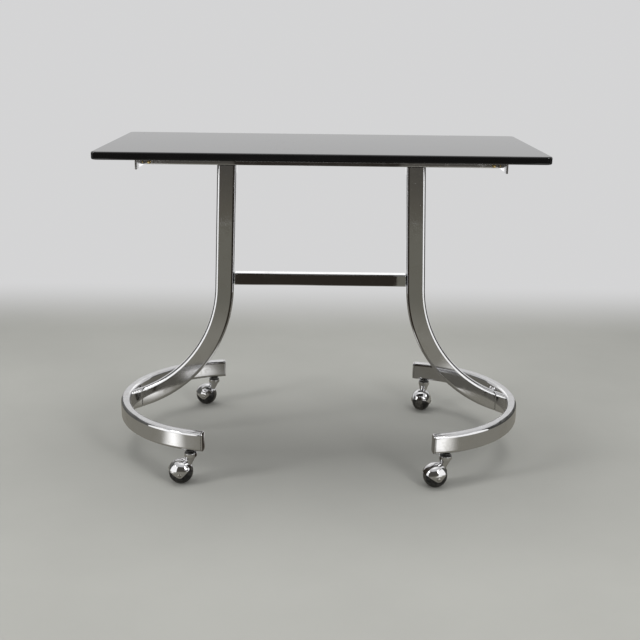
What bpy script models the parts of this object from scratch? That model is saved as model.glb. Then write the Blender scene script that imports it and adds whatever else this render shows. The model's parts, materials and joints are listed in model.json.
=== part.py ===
"""Rolling side table: a dark glass top on a bright tubular frame with C-shaped feet and hooded casters.

Metres, +Z up, floor at Z = 0, table centre on the Z axis, long side along X, front towards -Y.
"""

import math

import bmesh
import bpy
from mathutils import Matrix, Vector

# Overall sizes
TABLE_HEIGHT = 0.650
GLASS_LENGTH = 0.850
GLASS_DEPTH = 0.400
GLASS_THICKNESS = 0.015
GLASS_CORNER_RADIUS = 0.010
GLASS_EDGE_ROUND = 0.0030
GLASS_EDGE_STEPS = 4

# Clearances
GAP = 0.0003
WHEEL_GAP = 0.0010

# Rectangular tube of the legs and feet
TUBE_WIDTH = 0.040
TUBE_THICKNESS = 0.020
TUBE_WALL = 0.0016
TUBE_CORNER = 0.0065

# Top frame: one rail along the table and an angle bar across each end
PAD_THICKNESS = 0.0025
PAD_DIAMETER = 0.016
PAD_INSET = 0.020
RAIL_HEIGHT = 0.028
RAIL_CORNER = 0.0025
END_OVERHANG = 0.062
END_BAR_LENGTH = 0.190
END_BAR_SHEET = 0.004
END_BAR_FLANGE = 0.022
SCREW_HEAD_DIAMETER = 0.008
SCREW_HEAD_HEIGHT = 0.0022
SCREW_SHANK_DIAMETER = 0.004
SCREW_SHANK_LENGTH = 0.010
SCREW_INSET = 0.009
SCREW_RISE = 0.0050
SHEET_EDGE = 0.0005

# Legs: straight with a small lean, then one sweep outwards to the foot
LEG_TOP_X = 0.1926
LEG_LEAN = math.radians(1.87)
LEG_END_ANGLE = math.radians(69.5)
LEG_BEND_RADIUS = 0.273
CONNECTOR_LENGTH = 0.029
CONNECTOR_SPAN = 0.0225
STRETCHER_SIDE = 0.025
STRETCHER_CORNER = 0.003
STRETCHER_HEIGHT = 0.3675

# Feet: a tube on edge bent to an open C in plan
FOOT_RADIUS = 0.227
FOOT_HALF_ARC = math.radians(80.0)
FOOT_CAP_THICKNESS = 0.004
FOOT_CAP_PLUG = 0.009
FOOT_CAP_EDGE = 0.0012
CASTER_INSET = 0.024

# Casters
CASTER_HEIGHT = 0.0708
WHEEL_RADIUS = 0.0238
WHEEL_HALF_WIDTH = 0.0205
BALL_SQUARENESS = 2.3
HOOD_WALL = 0.0012
HOOD_TIP_DROP = 0.0043
HOOD_TIP_HALF_WIDTH = 0.0050
HOOD_TIP_ROUND = 0.0015
HOOD_FAR_RISE = 0.0090
HOOD_NEAR_RISE = 0.0165
CASTER_TRAIL = 0.0200
COLLAR_DIAMETER = 0.025
COLLAR_HEIGHT = 0.0065
COLLAR_DROP = 0.0060
NECK_LOW_DIAMETER = 0.0136
NECK_LOW_SHIFT = 0.0065
NECK_LOW_SHARE = 0.5
SEAL_DIAMETER = 0.022
SEAL_HEIGHT = 0.0014
SOCKET_DIAMETER = 0.018
SOCKET_HEIGHT = 0.0014
SOCKET_SPIGOT_DIAMETER = 0.0125
SOCKET_SPIGOT_HEIGHT = 0.012
STEM_DIAMETER = 0.008
STEM_SEAT = 0.009
STEM_RISE = 0.0084
AXLE_DIAMETER = 0.005
RIVET_DIAMETER = 0.0075
RIVET_HEIGHT = 0.0012
RIVET_SHOULDER_DIAMETER = 0.0045
RIVET_SHOULDER_HEIGHT = 0.0010
TURNED_EDGE = 0.0010

# Directions in which the casters trail, from +X towards +Y
TRAIL_ANGLES = {
    "left_front": math.radians(180.0),
    "right_front": math.radians(194.0),
    "left_back": math.radians(166.0),
    "right_back": math.radians(250.0),
}
SIDES = {"right": 0.0, "left": math.pi}

# Finishes: base colour, roughness, metallic
FINISHES = {
    "chrome": ((0.62, 0.62, 0.63), 0.10, 1.0),
    "dark_glass": ((0.010, 0.010, 0.011), 0.04, 0.0),
    "black_rubber": ((0.014, 0.014, 0.014), 0.55, 0.0),
    "black_plastic": ((0.018, 0.018, 0.018), 0.40, 0.0),
    "clear_vinyl": ((0.75, 0.72, 0.55), 0.35, 0.0),
    "zinc_steel": ((0.55, 0.55, 0.54), 0.35, 1.0),
    "yellow_zinc": ((0.72, 0.58, 0.30), 0.32, 1.0),
}

ARC_STEP = math.radians(8.0)
ROUND_STEPS = 20
SMALL_STEPS = 12
BALL_STEPS = 12


# Scene and helper collections

def clear_scene():
    for obj in list(bpy.data.objects):
        bpy.data.objects.remove(obj, do_unlink=True)


def new_collection(name):
    collection = bpy.data.collections.new(name)
    bpy.context.scene.collection.children.link(collection)
    return collection


def make_material(name):
    colour, roughness, metallic = FINISHES[name]
    material = bpy.data.materials.new(name)
    material.use_nodes = True
    shader = material.node_tree.nodes["Principled BSDF"]
    shader.inputs["Base Color"].default_value = (*colour, 1.0)
    shader.inputs["Roughness"].default_value = roughness
    shader.inputs["Metallic"].default_value = metallic
    return material


clear_scene()
PARTS = new_collection("rolling_side_table")
CUTTERS = new_collection("cutters")
MATERIALS = {name: make_material(name) for name in FINISHES}


# Modelling helpers

def helper(name, data, matrix=Matrix()):
    """An object that only shapes others: never rendered."""
    obj = bpy.data.objects.new(name, data)
    obj.matrix_world = matrix
    obj.hide_render = True
    obj.display_type = "WIRE"
    CUTTERS.objects.link(obj)
    return obj


def part(name, mesh, finish, matrix=Matrix(), smooth=True):
    """A finished piece with its own mesh and finish."""
    mesh = mesh.copy()
    mesh.name = name
    mesh.materials.clear()
    mesh.materials.append(MATERIALS[finish])
    for polygon in mesh.polygons:
        polygon.use_smooth = smooth
    obj = bpy.data.objects.new(name, mesh)
    obj.matrix_world = matrix
    PARTS.objects.link(obj)
    return obj


def frozen(obj):
    """The evaluated mesh of a helper, welded, with the helper's placing left out; the helper is removed."""
    bpy.context.view_layer.update()
    graph = bpy.context.evaluated_depsgraph_get()
    mesh = bpy.data.meshes.new_from_object(obj.evaluated_get(graph))
    bpy.data.objects.remove(obj, do_unlink=True)
    work = bmesh.new()
    work.from_mesh(mesh)
    bmesh.ops.remove_doubles(work, verts=work.verts, dist=0.000001)
    bmesh.ops.recalc_face_normals(work, faces=work.faces)
    work.to_mesh(mesh)
    work.free()
    return mesh


def add_bevel(obj, width, segments):
    weld = obj.modifiers.new("weld", "WELD")
    weld.merge_threshold = 0.000001
    bevel = obj.modifiers.new("edges", "BEVEL")
    bevel.width = width
    bevel.segments = segments
    bevel.limit_method = "ANGLE"
    bevel.angle_limit = math.radians(40.0)


def combine(obj, other, operation):
    boolean = obj.modifiers.new(operation.lower(), "BOOLEAN")
    boolean.operation = operation
    boolean.object = other
    boolean.solver = "EXACT"


def poly_curve(name, points, cyclic, dimensions):
    curve = bpy.data.curves.new(name, "CURVE")
    curve.dimensions = dimensions
    spline = curve.splines.new("POLY")
    spline.points.add(len(points) - 1)
    for point, place in zip(spline.points, points):
        point.co = (place[0], place[1], 0.0, 1.0)
    spline.use_cyclic_u = cyclic
    return curve


def rounded_rectangle(width, height, radius, segments):
    """Corner points of a rounded rectangle about the origin, anticlockwise."""
    points = []
    centres = ((1, 1), (-1, 1), (-1, -1), (1, -1))
    for quarter, (sx, sy) in enumerate(centres):
        for step in range(segments + 1):
            angle = math.pi / 2 * (quarter + step / segments)
            x = sx * (width / 2 - radius) + radius * math.cos(angle)
            y = sy * (height / 2 - radius) + radius * math.sin(angle)
            points.append((x, y))
    return points


def plate(name, points, thickness, bevel=0.0, segments=2):
    """A flat outline given thickness about its own plane."""
    curve = poly_curve(name, points, True, "2D")
    curve.fill_mode = "BOTH"
    curve.extrude = thickness / 2
    obj = helper(name, curve)
    if bevel:
        add_bevel(obj, bevel, segments)
    return frozen(obj)


def swept(name, path, width, thickness, corner, capped):
    """A rounded rectangular section drawn along a path in XY: width in that plane, thickness along Z."""
    outline = rounded_rectangle(width, thickness, corner, 3)
    section = helper(name + "_section", poly_curve(name, outline, True, "2D"))
    curve = poly_curve(name, path, False, "3D")
    curve.twist_mode = "Z_UP"
    curve.bevel_mode = "OBJECT"
    curve.bevel_object = section
    curve.use_fill_caps = capped
    mesh = frozen(helper(name, curve))
    bpy.data.objects.remove(section, do_unlink=True)
    return mesh


def hollow(name, mesh, wall):
    """An open tube surface given a wall inwards."""
    obj = helper(name, mesh)
    shell = obj.modifiers.new("wall", "SOLIDIFY")
    shell.thickness = wall
    shell.offset = -1.0
    shell.use_even_offset = True
    return frozen(obj)


def turned(name, profile, steps=ROUND_STEPS, closed=False):
    """A profile of (radius, height) points turned about Z."""
    mesh = bpy.data.meshes.new(name)
    edges = [(i, i + 1) for i in range(len(profile) - 1)]
    if closed:
        edges.append((len(profile) - 1, 0))
    mesh.from_pydata([(r, 0.0, z) for r, z in profile], edges, [])
    obj = helper(name, mesh)
    screw = obj.modifiers.new("turn", "SCREW")
    screw.steps = steps
    screw.render_steps = steps
    screw.use_merge_vertices = True
    screw.merge_threshold = 0.00001
    return frozen(obj)


def cylinder(name, diameter, low, high, steps=SMALL_STEPS):
    radius = diameter / 2
    return turned(name, [(0.0, high), (radius, high), (radius, low), (0.0, low)], steps)


def slide_to_plane(mesh, near, reach, direction, point, normal):
    """Moves the points within reach of near, along direction, onto a plane."""
    direction = Vector(direction)
    normal = Vector(normal)
    for vertex in mesh.vertices:
        if (vertex.co - Vector(near)).length < reach:
            travel = (Vector(point) - vertex.co).dot(normal) / direction.dot(normal)
            vertex.co = vertex.co + direction * travel


def arc_count(sweep):
    return max(2, math.ceil(abs(sweep) / ARC_STEP))


def arc_points(centre, radius, start, end):
    count = arc_count(end - start)
    angles = [start + (end - start) * i / count for i in range(count + 1)]
    return [(centre[0] + radius * math.cos(a), centre[1] + radius * math.sin(a)) for a in angles]


# Heights and lengths that follow from the sizes above
GLASS_UNDERSIDE = TABLE_HEIGHT - GLASS_THICKNESS
END_BAR_X = GLASS_LENGTH / 2 - END_OVERHANG
FRAME_TOP = GLASS_UNDERSIDE - PAD_THICKNESS
RAIL_UNDERSIDE = FRAME_TOP - RAIL_HEIGHT
FOOT_UNDERSIDE = CASTER_HEIGHT
FOOT_MIDDLE = FOOT_UNDERSIDE + TUBE_WIDTH / 2
LEG_TOP = RAIL_UNDERSIDE - GAP

# Path of the leg and its connector, in the XZ plane of the right leg
END_DIRECTION = (math.sin(LEG_END_ANGLE), -math.cos(LEG_END_ANGLE))
BEND_DROP = LEG_BEND_RADIUS * (math.sin(LEG_END_ANGLE) - math.sin(LEG_LEAN))
BEND_SPREAD = LEG_BEND_RADIUS * (math.cos(LEG_LEAN) - math.cos(LEG_END_ANGLE))
BEND_TOP = FOOT_MIDDLE + CONNECTOR_LENGTH * math.cos(LEG_END_ANGLE) + BEND_DROP
BEND_TOP_X = LEG_TOP_X + (LEG_TOP - BEND_TOP) * math.tan(LEG_LEAN)
LEG_END = (BEND_TOP_X + BEND_SPREAD, BEND_TOP - BEND_DROP)
CONNECTOR_END_X = LEG_END[0] + CONNECTOR_LENGTH * END_DIRECTION[0]
JOINT_X = CONNECTOR_END_X - CONNECTOR_SPAN

# Plan of the foot: its inner face keeps clear of the flat end of the connector
FOOT_INNER_RADIUS = FOOT_RADIUS - TUBE_THICKNESS / 2
FACE_BOW = FOOT_INNER_RADIUS - math.sqrt(FOOT_INNER_RADIUS ** 2 - (TUBE_THICKNESS / 2) ** 2)
FOOT_CHORD = FOOT_INNER_RADIUS * (1.0 - math.cos(ARC_STEP / 2))
FOOT_APEX_X = CONNECTOR_END_X + GAP + max(FACE_BOW, FOOT_CHORD) + TUBE_THICKNESS / 2
FOOT_CENTRE_X = FOOT_APEX_X - FOOT_RADIUS
CASTER_ANGLE = FOOT_HALF_ARC - CASTER_INSET / FOOT_RADIUS

UPRIGHT = Matrix.Rotation(math.pi / 2, 4, "X")


def side_matrix(side):
    return Matrix.Rotation(SIDES[side], 4, "Z")


# Top: glass, pads, end bars and rail

def build_glass():
    outline = rounded_rectangle(GLASS_LENGTH, GLASS_DEPTH, GLASS_CORNER_RADIUS, 5)
    mesh = plate("glass_top", outline, GLASS_THICKNESS, GLASS_EDGE_ROUND, GLASS_EDGE_STEPS)
    place = Matrix.Translation((0.0, 0.0, TABLE_HEIGHT - GLASS_THICKNESS / 2))
    part("glass_top", mesh, "dark_glass", place, False)


def build_end_bars():
    """An angle section: an upright sheet with its outer face at END_BAR_X, and a flange outwards."""
    section = [
        (-END_BAR_SHEET, -RAIL_HEIGHT),
        (0.0, -RAIL_HEIGHT),
        (0.0, -END_BAR_SHEET),
        (END_BAR_FLANGE - END_BAR_SHEET, -END_BAR_SHEET),
        (END_BAR_FLANGE - END_BAR_SHEET, 0.0),
        (-END_BAR_SHEET, 0.0),
    ]
    mesh = plate("end_bar", section, END_BAR_LENGTH, SHEET_EDGE, 1)
    pad = cylinder("glass_pad", PAD_DIAMETER, GAP, PAD_THICKNESS - GAP, ROUND_STEPS)
    pad_x = END_BAR_X + END_BAR_FLANGE / 2 - END_BAR_SHEET
    pad_y = END_BAR_LENGTH / 2 - PAD_INSET
    for side in SIDES:
        turn = side_matrix(side)
        place = turn @ Matrix.Translation((END_BAR_X, 0.0, FRAME_TOP)) @ UPRIGHT
        part("end_bar_" + side, mesh, "chrome", place, False)
        for depth, y in (("front", -pad_y), ("back", pad_y)):
            place = turn @ Matrix.Translation((pad_x, 0.0, FRAME_TOP))
            place = Matrix.Translation((0.0, y, 0.0)) @ place
            part("glass_pad_" + side + "_" + depth, pad, "clear_vinyl", place)


def build_rail():
    half = END_BAR_X - END_BAR_SHEET - GAP
    tube = swept("rail", [(-half, 0.0), (half, 0.0)], TUBE_THICKNESS, RAIL_HEIGHT, RAIL_CORNER, False)
    rail = helper("rail", hollow("rail", tube, TUBE_WALL))
    middle = FRAME_TOP - RAIL_HEIGHT / 2
    face = TUBE_THICKNESS / 2
    low = SCREW_RISE - RAIL_HEIGHT / 2
    hole = cylinder("screw_hole", SCREW_SHANK_DIAMETER + 2 * GAP, 0.0, 2 * TUBE_WALL)
    radius = SCREW_HEAD_DIAMETER / 2
    screw = turned("rail_screw", [
        (0.0, SCREW_HEAD_HEIGHT + GAP),
        (radius * 0.55, SCREW_HEAD_HEIGHT * 0.9 + GAP),
        (radius * 0.90, SCREW_HEAD_HEIGHT * 0.55 + GAP),
        (radius, GAP),
        (SCREW_SHANK_DIAMETER / 2, GAP),
        (SCREW_SHANK_DIAMETER / 2, -SCREW_SHANK_LENGTH),
        (0.0, -SCREW_SHANK_LENGTH),
    ], SMALL_STEPS)
    for side, sign in (("left", -1), ("right", 1)):
        x = sign * (half - SCREW_INSET)
        place = Matrix.Translation((x, -face + TUBE_WALL * 1.5, low)) @ UPRIGHT
        cutter = helper("screw_hole_" + side, hole, place)
        combine(rail, cutter, "DIFFERENCE")
        place = Matrix.Translation((x, -face, middle + low)) @ UPRIGHT
        part("rail_screw_" + side, screw, "yellow_zinc", place)
    part("top_rail", frozen(rail), "chrome", Matrix.Translation((0.0, 0.0, middle)), False)


# Legs, connectors and stretcher

def leg_path():
    top = (LEG_TOP_X, LEG_TOP)
    centre_x = BEND_TOP_X + LEG_BEND_RADIUS * math.cos(LEG_LEAN)
    centre = (centre_x, BEND_TOP + LEG_BEND_RADIUS * math.sin(LEG_LEAN))
    return [top] + arc_points(centre, LEG_BEND_RADIUS, math.pi + LEG_LEAN, math.pi + LEG_END_ANGLE)


def build_legs():
    path = leg_path()
    tube = swept("leg", path, TUBE_WIDTH, TUBE_THICKNESS, TUBE_CORNER, False)
    lean = (math.sin(LEG_LEAN), -math.cos(LEG_LEAN), 0.0)
    reach = 0.6 * math.hypot(TUBE_WIDTH, TUBE_THICKNESS)
    onward = (*END_DIRECTION, 0.0)
    leg = hollow("leg", tube, TUBE_WALL)
    slide_to_plane(leg, (*path[0], 0.0), reach, lean, (0.0, LEG_TOP, 0.0), (0.0, 1.0, 0.0))
    slide_to_plane(leg, (*LEG_END, 0.0), reach, onward, (JOINT_X, 0.0, 0.0), (1.0, 0.0, 0.0))
    start = (LEG_END[0] + GAP * END_DIRECTION[0], LEG_END[1] + GAP * END_DIRECTION[1])
    end = (CONNECTOR_END_X, FOOT_MIDDLE)
    connector = swept("connector", [start, end], TUBE_WIDTH, TUBE_THICKNESS, TUBE_CORNER, True)
    for vertex in connector.vertices:
        along = (vertex.co - Vector((*start, 0.0))).dot(Vector(onward))
        face = CONNECTOR_END_X if along > CONNECTOR_LENGTH / 2 else JOINT_X + GAP
        vertex.co += Vector(onward) * (face - vertex.co.x) / END_DIRECTION[0]
    for side in SIDES:
        place = side_matrix(side) @ UPRIGHT
        part("leg_" + side, leg, "chrome", place)
        part("leg_connector_" + side, connector, "chrome", place)


def build_stretcher():
    """A square tube whose ends follow the lean of the legs."""
    slope = math.tan(LEG_LEAN)
    inner = LEG_TOP_X + (LEG_TOP - STRETCHER_HEIGHT) * slope - TUBE_WIDTH / 2 / math.cos(LEG_LEAN) - GAP
    path = [(-inner, 0.0), (inner, 0.0)]
    tube = swept("stretcher", path, STRETCHER_SIDE, STRETCHER_SIDE, STRETCHER_CORNER, False)
    for vertex in tube.vertices:
        vertex.co.x -= math.copysign(vertex.co.z * slope, vertex.co.x)
    mesh = hollow("stretcher", tube, TUBE_WALL)
    part("stretcher", mesh, "chrome", Matrix.Translation((0.0, 0.0, STRETCHER_HEIGHT)), False)


# Feet and their end caps

def build_feet():
    path = arc_points((FOOT_CENTRE_X, 0.0), FOOT_RADIUS, -FOOT_HALF_ARC, FOOT_HALF_ARC)
    tube = swept("foot", path, TUBE_THICKNESS, TUBE_WIDTH, TUBE_CORNER, False)
    foot = helper("foot", hollow("foot", tube, TUBE_WALL))
    diameter = SOCKET_SPIGOT_DIAMETER + 2 * GAP
    hole = cylinder("socket_hole", diameter, -2 * TUBE_WALL, 2 * TUBE_WALL, ROUND_STEPS)
    for sign in (-1, 1):
        x = FOOT_CENTRE_X + FOOT_RADIUS * math.cos(CASTER_ANGLE)
        y = sign * FOOT_RADIUS * math.sin(CASTER_ANGLE)
        cutter = helper("socket_hole", hole, Matrix.Translation((x, y, -TUBE_WIDTH / 2)))
        combine(foot, cutter, "DIFFERENCE")
    mesh = frozen(foot)
    cap = build_cap()
    half_step = FOOT_HALF_ARC / arc_count(2 * FOOT_HALF_ARC)
    for side in SIDES:
        turn = side_matrix(side)
        lift = Matrix.Translation((0.0, 0.0, FOOT_MIDDLE))
        part("foot_" + side, mesh, "chrome", turn @ lift)
        for sign in (-1, 1):
            angle = sign * FOOT_HALF_ARC
            x = FOOT_CENTRE_X + FOOT_RADIUS * math.cos(angle)
            y = FOOT_RADIUS * math.sin(angle)
            facing = Matrix.Rotation(sign * (FOOT_HALF_ARC - half_step + math.pi / 2), 4, "Z")
            place = turn @ lift @ Matrix.Translation((x, y, 0.0)) @ facing
            depth = "front" if (place.translation.y < 0) else "back"
            part("foot_cap_" + side + "_" + depth, cap, "chrome", place)


def build_cap():
    """A rounded cover that points along +X, with a plug that reaches back into the tube."""
    outline = rounded_rectangle(TUBE_THICKNESS, TUBE_WIDTH, TUBE_CORNER, 3)
    cover = plate("cap", outline, FOOT_CAP_THICKNESS, FOOT_CAP_EDGE, 2)
    loose = 2 * (TUBE_WALL + 2 * GAP)
    inside = rounded_rectangle(TUBE_THICKNESS - loose, TUBE_WIDTH - loose, TUBE_CORNER - TUBE_WALL, 3)
    plug = plate("plug", inside, FOOT_CAP_PLUG + FOOT_CAP_THICKNESS / 2)
    across = Matrix.Rotation(math.pi / 2, 4, "Y") @ Matrix.Rotation(math.pi / 2, 4, "Z")
    cap = helper("cap", cover)
    reach = (FOOT_CAP_PLUG + FOOT_CAP_THICKNESS / 2) / 2
    combine(cap, helper("plug", plug, Matrix.Translation((0.0, 0.0, -reach))), "UNION")
    mesh = frozen(cap)
    mesh.transform(Matrix.Translation((GAP + FOOT_CAP_THICKNESS / 2, 0.0, 0.0)) @ across)
    return mesh


# Casters, each in a frame with the stem on the Z axis and the wheel trailing along +X

AXLE_ALONG_Y = Matrix.Translation((CASTER_TRAIL, 0.0, WHEEL_RADIUS)) @ UPRIGHT
CAVITY_RADIUS = WHEEL_RADIUS + WHEEL_GAP
CAVITY_HALF_WIDTH = WHEEL_HALF_WIDTH + WHEEL_GAP
HOOD_RADIUS = CAVITY_RADIUS + HOOD_WALL
HOOD_HALF_WIDTH = CAVITY_HALF_WIDTH + HOOD_WALL
NECK_TOP = CASTER_HEIGHT - COLLAR_DROP
COLLAR_LOW = NECK_TOP - COLLAR_HEIGHT
NECK_LOW = WHEEL_RADIUS + HOOD_RADIUS * NECK_LOW_SHARE


def ball_profile(radius, half_width, start=0.0):
    """A squared-off ball from the top of its axis to the bottom, beginning at the radius start."""
    power = 2.0 / BALL_SQUARENESS
    points = []
    for step in range(BALL_STEPS + 1):
        angle = math.pi / 2 - math.pi * step / BALL_STEPS
        across = radius * max(0.0, math.cos(angle)) ** power
        height = half_width * math.copysign(abs(math.sin(angle)) ** power, math.sin(angle))
        if step in (0, BALL_STEPS):
            across = start
        if across >= start:
            points.append((across, height))
    return points


def hood_cutter():
    """Everything below the rim: high at both ends, down to a rounded tip over the axle."""
    far = 2 * HOOD_RADIUS
    half = HOOD_TIP_HALF_WIDTH
    far_slope = (HOOD_FAR_RISE + HOOD_TIP_DROP) / (HOOD_RADIUS - half)
    near_slope = (HOOD_NEAR_RISE + HOOD_TIP_DROP) / (HOOD_RADIUS - half)
    outline = [
        (-far, -HOOD_TIP_DROP + near_slope * (far - half)),
        (-half, -HOOD_TIP_DROP),
        (-half / 2, -HOOD_TIP_DROP - HOOD_TIP_ROUND),
        (half / 2, -HOOD_TIP_DROP - HOOD_TIP_ROUND),
        (half, -HOOD_TIP_DROP),
        (far, -HOOD_TIP_DROP + far_slope * (far - half)),
        (far, -far),
        (-far, -far),
    ]
    return plate("rim_cutter", outline, 4 * HOOD_HALF_WIDTH)


def hood_mesh():
    """A ball-shaped shell with an open underside; its neck tapers from the collar and leans into the ball."""
    collar_radius = COLLAR_DIAMETER / 2
    neck = turned("neck", [
        (0.0, NECK_TOP),
        (collar_radius - TURNED_EDGE, NECK_TOP),
        (collar_radius, NECK_TOP - TURNED_EDGE),
        (collar_radius, COLLAR_LOW),
        (NECK_LOW_DIAMETER / 2, NECK_LOW),
        (0.0, NECK_LOW),
    ])
    for vertex in neck.vertices:
        depth = max(0.0, COLLAR_LOW - vertex.co.z)
        vertex.co.x += NECK_LOW_SHIFT * depth / (COLLAR_LOW - NECK_LOW)
    hood = helper("hood", neck)
    ball = turned("ball", ball_profile(HOOD_RADIUS, HOOD_HALF_WIDTH))
    cavity = turned("cavity", ball_profile(CAVITY_RADIUS, CAVITY_HALF_WIDTH))
    stem_hole = cylinder("stem_hole", STEM_DIAMETER + 2 * GAP, NECK_TOP - STEM_SEAT, NECK_TOP + STEM_SEAT)
    axle_hole = cylinder("axle_hole", AXLE_DIAMETER + 2 * GAP, -2 * HOOD_HALF_WIDTH, 2 * HOOD_HALF_WIDTH)
    combine(hood, helper("ball", ball, AXLE_ALONG_Y), "UNION")
    combine(hood, helper("cavity", cavity, AXLE_ALONG_Y), "DIFFERENCE")
    combine(hood, helper("rim_cutter", hood_cutter(), AXLE_ALONG_Y), "DIFFERENCE")
    combine(hood, helper("stem_hole", stem_hole), "DIFFERENCE")
    combine(hood, helper("axle_hole", axle_hole, AXLE_ALONG_Y), "DIFFERENCE")
    return frozen(hood)


def wheel_mesh():
    bore = AXLE_DIAMETER / 2 + GAP
    return turned("wheel", ball_profile(WHEEL_RADIUS, WHEEL_HALF_WIDTH, bore), ROUND_STEPS, True)


def axle_mesh():
    """A pin with a low round head at each end, outside the cheeks of the hood."""
    head = RIVET_DIAMETER / 2
    pin = AXLE_DIAMETER / 2
    face = HOOD_HALF_WIDTH + GAP
    upper = [
        (0.0, face + RIVET_HEIGHT),
        (RIVET_SHOULDER_DIAMETER / 2, face + RIVET_SHOULDER_HEIGHT),
        (head, face),
        (pin, face),
    ]
    lower = [(r, -z) for r, z in reversed(upper)]
    return turned("axle", upper + lower, SMALL_STEPS)


def stem_mesh():
    radius = STEM_DIAMETER / 2
    top = CASTER_HEIGHT + STEM_RISE
    low = NECK_TOP - STEM_SEAT + GAP
    return turned("stem", [
        (0.0, top),
        (radius - TURNED_EDGE, top),
        (radius, top - TURNED_EDGE),
        (radius, low),
        (0.0, low),
    ], SMALL_STEPS)


def seal_mesh():
    """A ring round the stem that covers the top of the collar."""
    bore = STEM_DIAMETER / 2 + GAP
    rim = SEAL_DIAMETER / 2
    low = NECK_TOP + GAP
    top = low + SEAL_HEIGHT
    return turned("seal", [
        (bore, top),
        (rim - TURNED_EDGE, top),
        (rim, top - TURNED_EDGE),
        (rim, low),
        (bore, low),
    ], ROUND_STEPS, True)


def socket_mesh():
    """A bush: its spigot sits in the foot, its flange bears on the foot, and its bore takes the stem."""
    bore = STEM_DIAMETER / 2 + GAP
    spigot = SOCKET_SPIGOT_DIAMETER / 2
    flange = SOCKET_DIAMETER / 2
    seat = CASTER_HEIGHT - GAP
    low = seat - SOCKET_HEIGHT
    bore_top = CASTER_HEIGHT + STEM_RISE + GAP
    return turned("socket", [
        (0.0, CASTER_HEIGHT + SOCKET_SPIGOT_HEIGHT),
        (spigot, CASTER_HEIGHT + SOCKET_SPIGOT_HEIGHT),
        (spigot, seat),
        (flange, seat),
        (flange, low + TURNED_EDGE),
        (flange - TURNED_EDGE, low),
        (bore, low),
        (bore, bore_top),
        (0.0, bore_top),
    ])


def build_casters():
    hood = hood_mesh()
    wheel = wheel_mesh()
    axle = axle_mesh()
    stem = stem_mesh()
    seal = seal_mesh()
    socket = socket_mesh()
    x = FOOT_CENTRE_X + FOOT_RADIUS * math.cos(CASTER_ANGLE)
    y = FOOT_RADIUS * math.sin(CASTER_ANGLE)
    for corner, angle in TRAIL_ANGLES.items():
        side, depth = corner.split("_")
        at = Matrix.Translation((x if side == "right" else -x, -y if depth == "front" else y, 0.0))
        swivel = at @ Matrix.Rotation(angle, 4, "Z")
        part("caster_socket_" + corner, socket, "black_plastic", at)
        part("caster_stem_" + corner, stem, "zinc_steel", swivel)
        part("caster_seal_" + corner, seal, "black_plastic", swivel)
        part("caster_hood_" + corner, hood, "chrome", swivel)
        part("caster_axle_" + corner, axle, "zinc_steel", swivel @ AXLE_ALONG_Y)
        part("caster_wheel_" + corner, wheel, "black_rubber", swivel @ AXLE_ALONG_Y)


def remove_cutters():
    for obj in list(CUTTERS.objects):
        bpy.data.objects.remove(obj, do_unlink=True)


build_glass()
build_end_bars()
build_rail()
build_legs()
build_stretcher()
build_feet()
build_casters()
remove_cutters()
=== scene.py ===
"""Looks of a rolling side table: black glass on a chromed tube frame with C-shaped feet and hooded casters.

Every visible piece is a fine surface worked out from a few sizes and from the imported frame, and rides
on its body.
Metres, +Z up, floor at Z = 0, long side along X, front towards -Y.
"""

from __future__ import annotations

import json
import logging
import math
from dataclasses import dataclass, field
from enum import Enum
from typing import ClassVar

import bmesh
import bpy
import numpy as np
from mathutils import Matrix, Vector


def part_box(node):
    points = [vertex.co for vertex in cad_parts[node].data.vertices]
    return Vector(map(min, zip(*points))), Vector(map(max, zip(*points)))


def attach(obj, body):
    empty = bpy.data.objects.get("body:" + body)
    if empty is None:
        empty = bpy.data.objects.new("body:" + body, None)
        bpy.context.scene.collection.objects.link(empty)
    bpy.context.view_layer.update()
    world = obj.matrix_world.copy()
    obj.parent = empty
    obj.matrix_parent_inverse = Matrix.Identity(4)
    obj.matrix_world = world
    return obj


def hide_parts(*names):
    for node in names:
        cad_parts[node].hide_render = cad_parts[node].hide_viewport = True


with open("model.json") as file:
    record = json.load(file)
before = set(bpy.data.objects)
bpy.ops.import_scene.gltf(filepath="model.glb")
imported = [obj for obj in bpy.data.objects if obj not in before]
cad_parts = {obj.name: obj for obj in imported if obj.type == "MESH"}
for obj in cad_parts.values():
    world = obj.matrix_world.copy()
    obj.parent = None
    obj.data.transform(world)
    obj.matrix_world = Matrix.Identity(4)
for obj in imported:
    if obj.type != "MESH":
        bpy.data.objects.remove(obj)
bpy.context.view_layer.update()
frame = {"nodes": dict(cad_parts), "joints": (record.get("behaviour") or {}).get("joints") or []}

Array = np.ndarray
Mesh = bpy.types.Mesh
Socket = bpy.types.NodeSocket
Pair = tuple[float, float]
Point = tuple[float, float, float]
Colour = tuple[float, float, float]
LOG = logging.getLogger("side_table")
SURFACE_MAP = "surface"


class Side(Enum):
    """The two ends of the table, with the turn about Z that brings the right one there."""

    RIGHT = 0.0
    LEFT = math.pi

    @property
    def word(self) -> str:
        """The side's name as the pieces use it."""
        return self.name.lower()

    @property
    def sign(self) -> float:
        """+1 towards +X, -1 towards -X."""
        return 1.0 if self is Side.RIGHT else -1.0

    @property
    def matrix(self) -> Matrix:
        """The turn from the right side to this one."""
        return Matrix.Rotation(self.value, 4, "Z")


class Depth(Enum):
    """Front and back of the table, as the names of the pieces say it."""

    FRONT = "front"
    BACK = "back"


class Slot(Enum):
    """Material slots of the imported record."""

    GLASS = "dark_glass"
    CHROME = "chrome"
    RUBBER = "black_rubber"
    PLASTIC = "black_plastic"
    STEEL = "zinc_steel"
    ZINC = "yellow_zinc"
    VINYL = "clear_vinyl"


# Outlines and surfaces


def unit(vectors: Array) -> Array:
    """Vectors divided by their length along the last axis."""
    return vectors / np.linalg.norm(vectors, axis=-1, keepdims=True)


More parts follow.
